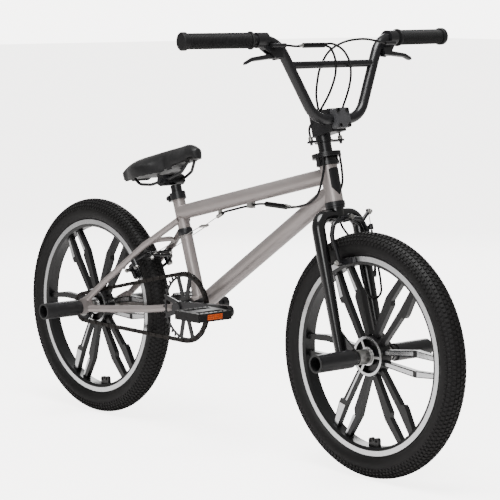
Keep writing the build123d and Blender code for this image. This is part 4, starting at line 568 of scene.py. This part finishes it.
def apply_modifiers(piece):
    graph = bpy.context.evaluated_depsgraph_get()
    mesh = bpy.data.meshes.new_from_object(piece.evaluated_get(graph), depsgraph=graph)
    piece.modifiers.clear()
    piece.data = mesh


TILT = math.radians(16)
PAD_FORE = Vector((math.cos(TILT), 0, math.sin(TILT)))
PAD_UP = Vector((-math.sin(TILT), 0, math.cos(TILT)))
PAD_NOSE = Vector((-93 * MM, 0, 656 * MM))
PAD_LOW, PAD_HIGH = -32.0, 16.0      # the block's lower and upper faces, square to the saddle's line
REMESH_STEP, CUSHION_RISE = 4.5 * MM, 3.0 * MM


def crown_pad(pad):
    """Rounds the block in the saddle's own directions: its top, its nose, its tail and its lower edge."""
    for vertex in pad.data.vertices:
        spot = vertex.co - PAD_NOSE
        along, up, side = -spot.dot(PAD_FORE) / MM, spot.dot(PAD_UP) / MM, spot.y / MM
        half = 20 + 48 * max(0.0, min(1.0, (along - 60) / 110)) ** 1.4
        reach = min(1.0, abs(side) / half)
        share = max(0.0, min(1.0, (up - PAD_LOW) / (PAD_HIGH - PAD_LOW)))
        near_nose, near_tail = max(0.0, 1 - along / 36), max(0.0, (along - 178) / 60)
        lower = (22.0 * reach ** 2.6 + 18.0 * near_nose ** 2 + 17.0 * near_tail ** 2) * share
        lift = (8.0 * max(0.0, 1 - along / 95) ** 1.2 + 3.0 * near_tail ** 2) * (1 - share)
        vertex.co += PAD_UP * (lift - lower) * MM
        tuck = 5.0 * (1 - share) ** 2 * reach
        vertex.co.y -= math.copysign(tuck * MM, vertex.co.y)


pad = saddle_pad()
remesh = pad.modifiers.new("even_faces", "REMESH")
remesh.mode = "VOXEL"
remesh.voxel_size = REMESH_STEP
apply_modifiers(pad)
crown_pad(pad)
start = [vertex.co.copy() for vertex in pad.data.vertices]
cloth = pad.modifiers.new("pressure", "CLOTH")
cloth.settings.use_pressure = True
cloth.settings.uniform_pressure_force = 3.0
cloth.settings.effector_weights.gravity = 0.0
cloth.settings.quality = 5
for step in range(1, 16):
    bpy.context.scene.frame_set(step)
apply_modifiers(pad)
bpy.context.scene.frame_set(1)
for vertex, home in zip(pad.data.vertices, start):
    move = vertex.co - home
    if move.length > CUSHION_RISE:
        vertex.co = home + move.normalized() * CUSHION_RISE
smoothing = pad.modifiers.new("roll_edges", "SMOOTH")
smoothing.factor, smoothing.iterations = 0.5, 10
fine = pad.modifiers.new("fine", "SUBSURF")
fine.levels = fine.render_levels = 1
apply_modifiers(pad)
for face in pad.data.polygons:
    face.use_smooth = True
set_finish(pad, SADDLE_VINYL)
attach(pad, "seat")
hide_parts("saddle_cover")
print("saddle pad faces", len(pad.data.polygons))

# %% [markdown]
# Orange reflectors sit in the ends of each pedal. Their bodies are part of the pedal's node, so a
# thin grid of small pyramids, the lens, stands in front of each one.

# %% Pedal reflector lenses
LENS_WIDE, LENS_HIGH, LENS_GAP = 42.0, 12.0, 0.2     # in millimetres, the gap on each side of a pyramid
LENS_COLUMNS, LENS_ROWS = 9, 3
for side, word in ((-1, "right"), (1, "left")):
    low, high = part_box("pedal_" + word)
    mid_y, mid_z = (low[1] + high[1]) / 2, (low[2] + high[2]) / 2
    bm = bmesh.new()
    for x, way in ((low[0], -1), (high[0], 1)):
        width, height = LENS_WIDE / LENS_COLUMNS, LENS_HIGH / LENS_ROWS
        for row in range(LENS_ROWS):
            for column in range(LENS_COLUMNS):
                y0 = mid_y + (column * width - LENS_WIDE / 2 + LENS_GAP) * MM
                z0 = mid_z + (row * height - LENS_HIGH / 2 + LENS_GAP) * MM
                y1, z1 = y0 + (width - 2 * LENS_GAP) * MM, z0 + (height - 2 * LENS_GAP) * MM
                square = ((y0, z0), (y1, z0), (y1, z1), (y0, z1))
                face = [bm.verts.new((x + way * 0.1 * MM, y, z)) for y, z in square]
                tip = bm.verts.new((x + way * 1.1 * MM, (y0 + y1) / 2, (z0 + z1) / 2))
                for i in range(4):
                    bm.faces.new((face[i], face[(i + 1) % 4], tip))
                bm.faces.new(face[::-1])
    make_piece("pedal_lenses_" + word, bm, REFLECTOR, "pedal_%s_body" % word)

# %% [markdown]
# Small screws and nuts hold the stem, the brake pads and the cables. Each is a hexagon or a round
# head with a six-sided hole, drawn once. The tree below sets a copy at every point of a mesh, turned
# along the direction that the point carries in an attribute named way.

# %% A tree that sets fasteners on points
def fastener_tree(material):
    tree = bpy.data.node_groups.new("fasteners", "GeometryNodeTree")
    tree.interface.new_socket("Points", in_out="INPUT", socket_type="NodeSocketObject")
    tree.interface.new_socket("Piece", in_out="INPUT", socket_type="NodeSocketObject")
    tree.interface.new_socket("Mesh", in_out="OUTPUT", socket_type="NodeSocketGeometry")
    given = add_node(tree, "NodeGroupInput")
    spots = add_node(tree, "GeometryNodeObjectInfo", links={"Object": given.outputs["Points"]})
    part = add_node(tree, "GeometryNodeObjectInfo", links={"Object": given.outputs["Piece"]})
    way = add_node(tree, "GeometryNodeInputNamedAttribute", {"data_type": "FLOAT_VECTOR"})
    way.inputs["Name"].default_value = "way"
    turn = add_node(tree, "FunctionNodeAlignRotationToVector", {"axis": "Z"}, {"Vector": way.outputs[0]})
    copies = add_node(tree, "GeometryNodeInstanceOnPoints",
                      links={"Points": spots.outputs["Geometry"], "Instance": part.outputs["Geometry"],
                             "Rotation": turn.outputs[0]})
    return finish_tree(tree, copies.outputs[0], material)


def prism_rings(bm, rings, sides, turn=0.0):
    """Joins rings of (radius, height) in millimetres into a closed stack along Z."""
    loops = []
    for radius, height in rings:
        loops.append([bm.verts.new((radius * math.cos(turn + 2 * math.pi * i / sides) * MM,
                                    radius * math.sin(turn + 2 * math.pi * i / sides) * MM, height * MM))
                      for i in range(sides)])
    for low, high in zip(loops, loops[1:]):
        for i in range(sides):
            bm.faces.new((low[i], low[(i + 1) % sides], high[(i + 1) % sides], high[i]))
    bm.faces.new(loops[0][::-1])
    bm.faces.new(loops[-1])


def hex_nut():
    """A dome nut on a washer."""
    bm = bmesh.new()
    prism_rings(bm, [(5.6, 0), (5.6, 0.8), (5.4, 1.0)], 20)
    prism_rings(bm, [(4.6, 1.0), (4.6, 4.0), (4.2, 4.4)], 6)
    prism_rings(bm, [(3.2, 4.4), (3.0, 5.4), (2.2, 6.4), (0.8, 6.9)], 16)
    return mesh_of(bm, "hex_nut")


def socket_screw():
    """A round head with a six-sided hole."""
    bm = bmesh.new()
    outer, hole = [], []
    sides = 24
    for radius, height in ((4.2, 0), (4.2, 2.4), (3.9, 2.8)):
        outer.append([bm.verts.new((radius * math.cos(2 * math.pi * i / sides) * MM,
                                    radius * math.sin(2 * math.pi * i / sides) * MM, height * MM))
                      for i in range(sides)])
    for height in (2.8, 0.8):
        ring = []
        for i in range(sides):
            angle = 2 * math.pi * i / sides
            reach = 2.3 * math.cos(math.pi / 6) / math.cos((angle % (math.pi / 3)) - math.pi / 6)
            ring.append(bm.verts.new((reach * math.cos(angle) * MM, reach * math.sin(angle) * MM, height * MM)))
        hole.append(ring)
    for low, high in ((outer[0], outer[1]), (outer[1], outer[2]), (outer[2], hole[0]), (hole[0], hole[1])):
        for i in range(sides):
            bm.faces.new((low[i], low[(i + 1) % sides], high[(i + 1) % sides], high[i]))
    bm.faces.new(outer[0][::-1])
    bm.faces.new(hole[1])
    return mesh_of(bm, "socket_screw")


def fasteners(name, kind, places, body, material=HARDWARE):
    """places holds (point, direction) pairs."""
    spots = bpy.data.meshes.new(name + "_spots")
    spots.from_pydata([tuple(point) for point, _ in places], [], [])
    way = spots.attributes.new("way", "FLOAT_VECTOR", "POINT")
    for item, (_, direction) in zip(way.data, places):
        item.vector = direction
    holders = []
    for label, mesh in (("spots", spots), ("part", kind())):
        holder = bpy.data.objects.new(name + "_" + label, mesh)
        bpy.context.scene.collection.objects.link(holder)
        holders.append(holder)
    mesh = run_tree(fastener_tree(material), {"Points": holders[0], "Piece": holders[1]}, name)
    for holder in holders:
        bpy.data.objects.remove(holder)
    return make_piece(name, mesh, material, body, smooth=40)


# %% Screws and nuts
STEM_FRONT, STEM_SCREW_SIDE = 71.5, 13
stem_places = [(steer_place(STEM_FRONT, side, level), STEER_FORE)
               for side in (-STEM_SCREW_SIDE, STEM_SCREW_SIDE) for level in (480, 512)]
fasteners("stem_screws", socket_screw, stem_places, "front_end", DARK_STEEL)
SIDE_WAY = Vector((0, 1, 0))
fasteners("front_pad_nut_right", hex_nut, [(steer_place(23, -45.5, 200), -SIDE_WAY)], "front_arm_right")
fasteners("front_pad_nut_left", hex_nut, [(steer_place(35, 45.5, 200), SIDE_WAY)], "front_arm_left")
fasteners("front_cable_clamp_left", hex_nut, [(steer_place(36 + 4.6, 57, 299), STEER_FORE)], "front_arm_left")
STAY_UP = (Vector((-153.49 * MM, 0, 489 * MM)) - REAR_AXLE).normalized()
STAY_OUT = STAY_UP.cross(Vector((0, 1, 0)))


def stay_place(along, side, level):
    return REAR_AXLE + STAY_UP * along * MM + Vector((0, side * MM, 0)) + STAY_OUT * level * MM


for side, word, level in ((-1, "right", -14.5), (1, "left", -22.5)):
    fasteners("rear_pad_nut_" + word, hex_nut, [(stay_place(195, side * 43.5, level), SIDE_WAY * side)],
              "rear_arm_" + word)
    fasteners("straddle_clamp_" + word, hex_nut, [(stay_place(278, -side * 29, level - 5), -STAY_OUT)],
              "rear_arm_" + word)

# %% [markdown]
# The hub between the wheel and the fork is turned with fine flutes that catch the light. One flute
# is drawn once and set round the axle with the same tree as the tyre's blocks.

# %% Hub flutes
def flute(y_from, y_to, radius):
    bm = bmesh.new()
    corners = [(radius - 0.4, -0.9), (radius + 0.7, -0.45), (radius + 0.7, 0.45), (radius - 0.4, 0.9)]
    low = [bm.verts.new((r * MM, y_from * MM, z * MM)) for r, z in corners]
    high = [bm.verts.new((r * MM, y_to * MM, z * MM)) for r, z in corners]
    for i in range(4):
        bm.faces.new((low[i], low[(i + 1) % 4], high[(i + 1) % 4], high[i]))
    bm.faces.new(low[::-1])
    bm.faces.new(high)
    bmesh.ops.recalc_face_normals(bm, faces=bm.faces)
    return mesh_of(bm, "flute")


HUB_BARREL = 15.0
for wheel, side, end in (("front", -1, 44), ("front", 1, 44), ("rear", 1, 49)):
    axle, body, turn = WHEELS[wheel]
    word = "right" if side < 0 else "left"
    repeat_round("%s_hub_flutes_%s" % (wheel, word), flute(side * 15.5, side * end, HUB_BARREL), 36, axle, 0.0,
                 HARDWARE, body)

# %% [markdown]
# A metal ferrule closes each end of a cable housing where it meets a joiner or an adjuster.

# %% Ferrules
def ferrule(name, foot, way, body, radius=3.4, length=11.0, bore=2.6):
    way = Vector(way).normalized()
    out = way.orthogonal().normalized()
    bm = bmesh.new()
    profile = [(bore, 0), (radius + 0.5, 0), (radius + 0.5, 2.0), (radius, 2.4), (radius, length - 1.5),
               (radius - 0.5, length), (bore, length)]
    turned_rings(bm, profile, Vector(foot), way, out, 24)
    make_piece(name, bm, HARDWARE, body, smooth=35)


ferrule("upper_ferrule_in", (0.365, -0.101, 0.896), (-1, -17, -2), "front_end")
ferrule("lower_ferrule_in", (0.203, 0, 0.546), (29, 0, 1.5), "frame", radius=4.6, bore=4.0)
for side, word in ((-1, "near"), (1, "far")):
    ferrule("rotor_adjuster_" + word, steer_place(6, side * 42, 461.2), STEER_UP, "front_end", radius=4.8,
            length=8.2, bore=2.7)

# %% [markdown]
# A black enamelled plate wraps the front of the head tube. It has a pointed lower edge and, as on
# any plain bicycle, nothing is written on it. A clamp band for the cable sits on the seat tube.

# %% Head plate and seat tube band
def head_plate():
    bm = bmesh.new()
    columns, rows = 24, 10
    grids = []
    for radius in (19.1, 19.6):
        grid = []
        for column in range(columns + 1):
            angle = math.radians(-46 + 92 * column / columns)
            low = 343 + 17 * abs(angle) / math.radians(46)
            high = 401 - 3 * (abs(angle) / math.radians(46)) ** 2
            grid.append([bm.verts.new(steer_place(radius * math.cos(angle), radius * math.sin(angle),
                                                  low + (high - low) * row / rows)) for row in range(rows + 1)])
        grids.append(grid)
    for grid in grids:
        for column in range(columns):
            for row in range(rows):
                bm.faces.new((grid[column][row], grid[column + 1][row], grid[column + 1][row + 1],
                              grid[column][row + 1]))
    inner, outer = grids
    for column in range(columns):
        for row in (0, rows):
            bm.faces.new((inner[column][row], inner[column + 1][row], outer[column + 1][row], outer[column][row]))
    for row in range(rows):
        for column in (0, columns):
            bm.faces.new((inner[column][row], inner[column][row + 1], outer[column][row + 1], outer[column][row]))
    return bm


make_piece("head_plate", head_plate(), BAND_BLACK, "frame", smooth=40)
SEAT_TILT = math.radians(71.5)
SEAT_UP = Vector((-math.cos(SEAT_TILT), 0, math.sin(SEAT_TILT)))
CRANK_AXIS = middle_of("bb_shell")
bm = bmesh.new()
band = [(14.4, -7.5), (16.2, -7.5), (16.8, -6.5), (16.8, 6.5), (16.2, 7.5), (14.4, 7.5)]
turned_rings(bm, band, CRANK_AXIS + SEAT_UP * 172 * MM, SEAT_UP, Vector((0, 1, 0)), 48)
make_piece("seat_tube_band", bm, SATIN_BLACK, "frame", smooth=35)

# %% [markdown]
# Moulded pins stand on both faces of each pedal so that a shoe grips it. One pin is drawn once and
# set on the pedal's frame with the fastener tree.

# %% Pedal pins
def pedal_pin():
    bm = bmesh.new()
    prism_rings(bm, [(1.7, -0.4), (1.5, 1.2), (1.0, 1.5)], 8)
    return mesh_of(bm, "pedal_pin")


for word in ("right", "left"):
    low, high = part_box("pedal_" + word)
    places = []
    for face, way in ((high[2], 1), (low[2], -1)):
        for x in (low[0] + 6 * MM, high[0] - 6 * MM):
            for step in range(7):
                y = low[1] + 8 * MM + (high[1] - low[1] - 16 * MM) * step / 6
                places.append((Vector((x, y, face)), Vector((0, 0, way))))
    fasteners("pedal_pins_" + word, pedal_pin, places, "pedal_%s_body" % word, NYLON)

# %% [markdown]
# The studio: a pale seamless floor, a big soft light overhead, a fill from the viewer's side and a
# weak light behind that draws the outlines of the black parts.

# %% Floor, light and camera
ROOM_LIGHT, BACKDROP, FLOOR_GLOW = 0.42, 6.8, 4.6      # what lights the object, and how pale the room looks
bm = bmesh.new()
corners = [bm.verts.new(spot) for spot in ((-30, -30, -0.0005), (30, -30, -0.0005), (30, 30, -0.0005),
                                           (-30, 30, -0.0005))]
bm.faces.new(corners)
floor = bpy.data.objects.new("studio_floor", mesh_of(bm, "studio_floor"))
bpy.context.scene.collection.objects.link(floor)
paper, paper_tree, paper_shader, _ = new_finish("seamless_paper", {"Roughness": 0.9})
paper_shader.inputs["Base Color"].default_value = linear("#f2f0ef")
paper_shader.inputs["Emission Color"].default_value = linear("#f6f4f2")
seen = add_node(paper_tree, "ShaderNodeLightPath")
glow = add_node(paper_tree, "ShaderNodeMapRange", {"To Min": 0.0, "To Max": FLOOR_GLOW},
                {"Value": seen.outputs["Is Camera Ray"]})
paper_tree.links.new(glow.outputs["Result"], paper_shader.inputs["Emission Strength"])
set_finish(floor, paper)

world = bpy.data.worlds.new("studio")
bpy.context.scene.world = world
world.use_nodes = True
world.node_tree.nodes["Background"].inputs["Color"].default_value = linear("#f6f4f2")
sight = add_node(world.node_tree, "ShaderNodeLightPath")
brightness = add_node(world.node_tree, "ShaderNodeMapRange", {"To Min": ROOM_LIGHT, "To Max": BACKDROP},
                      {"Value": sight.outputs["Is Camera Ray"]})
world.node_tree.links.new(brightness.outputs["Result"], world.node_tree.nodes["Background"].inputs["Strength"])


def soft_light(name, place, target, size, power):
    data = bpy.data.lights.new(name, "AREA")
    data.shape, data.size, data.energy = "DISK", size, power
    light = bpy.data.objects.new(name, data)
    bpy.context.scene.collection.objects.link(light)
    light.location = place
    light.rotation_euler = (Vector(target) - Vector(place)).to_track_quat("-Z", "Y").to_euler()
    return light


soft_light("overhead", (0.6, -0.8, 3.4), (0, 0, 0.4), 2.2, 215)
soft_light("viewer_side", (3.0, -3.6, 2.0), (0, 0, 0.5), 2.2, 70)
soft_light("behind", (-2.6, 2.6, 1.8), (0, 0, 0.6), 1.8, 70)

lens = bpy.data.cameras.new("viewer")
lens.sensor_width, lens.lens = 36.0, 152.6
camera = bpy.data.objects.new("viewer", lens)
bpy.context.scene.collection.objects.link(camera)
camera.location = (3.5819, -3.0211, 1.0067)
camera.rotation_euler = (Vector((0.08261, 0, 0.44125)) - camera.location).to_track_quat("-Z", "Y").to_euler()
bpy.context.scene.camera = camera
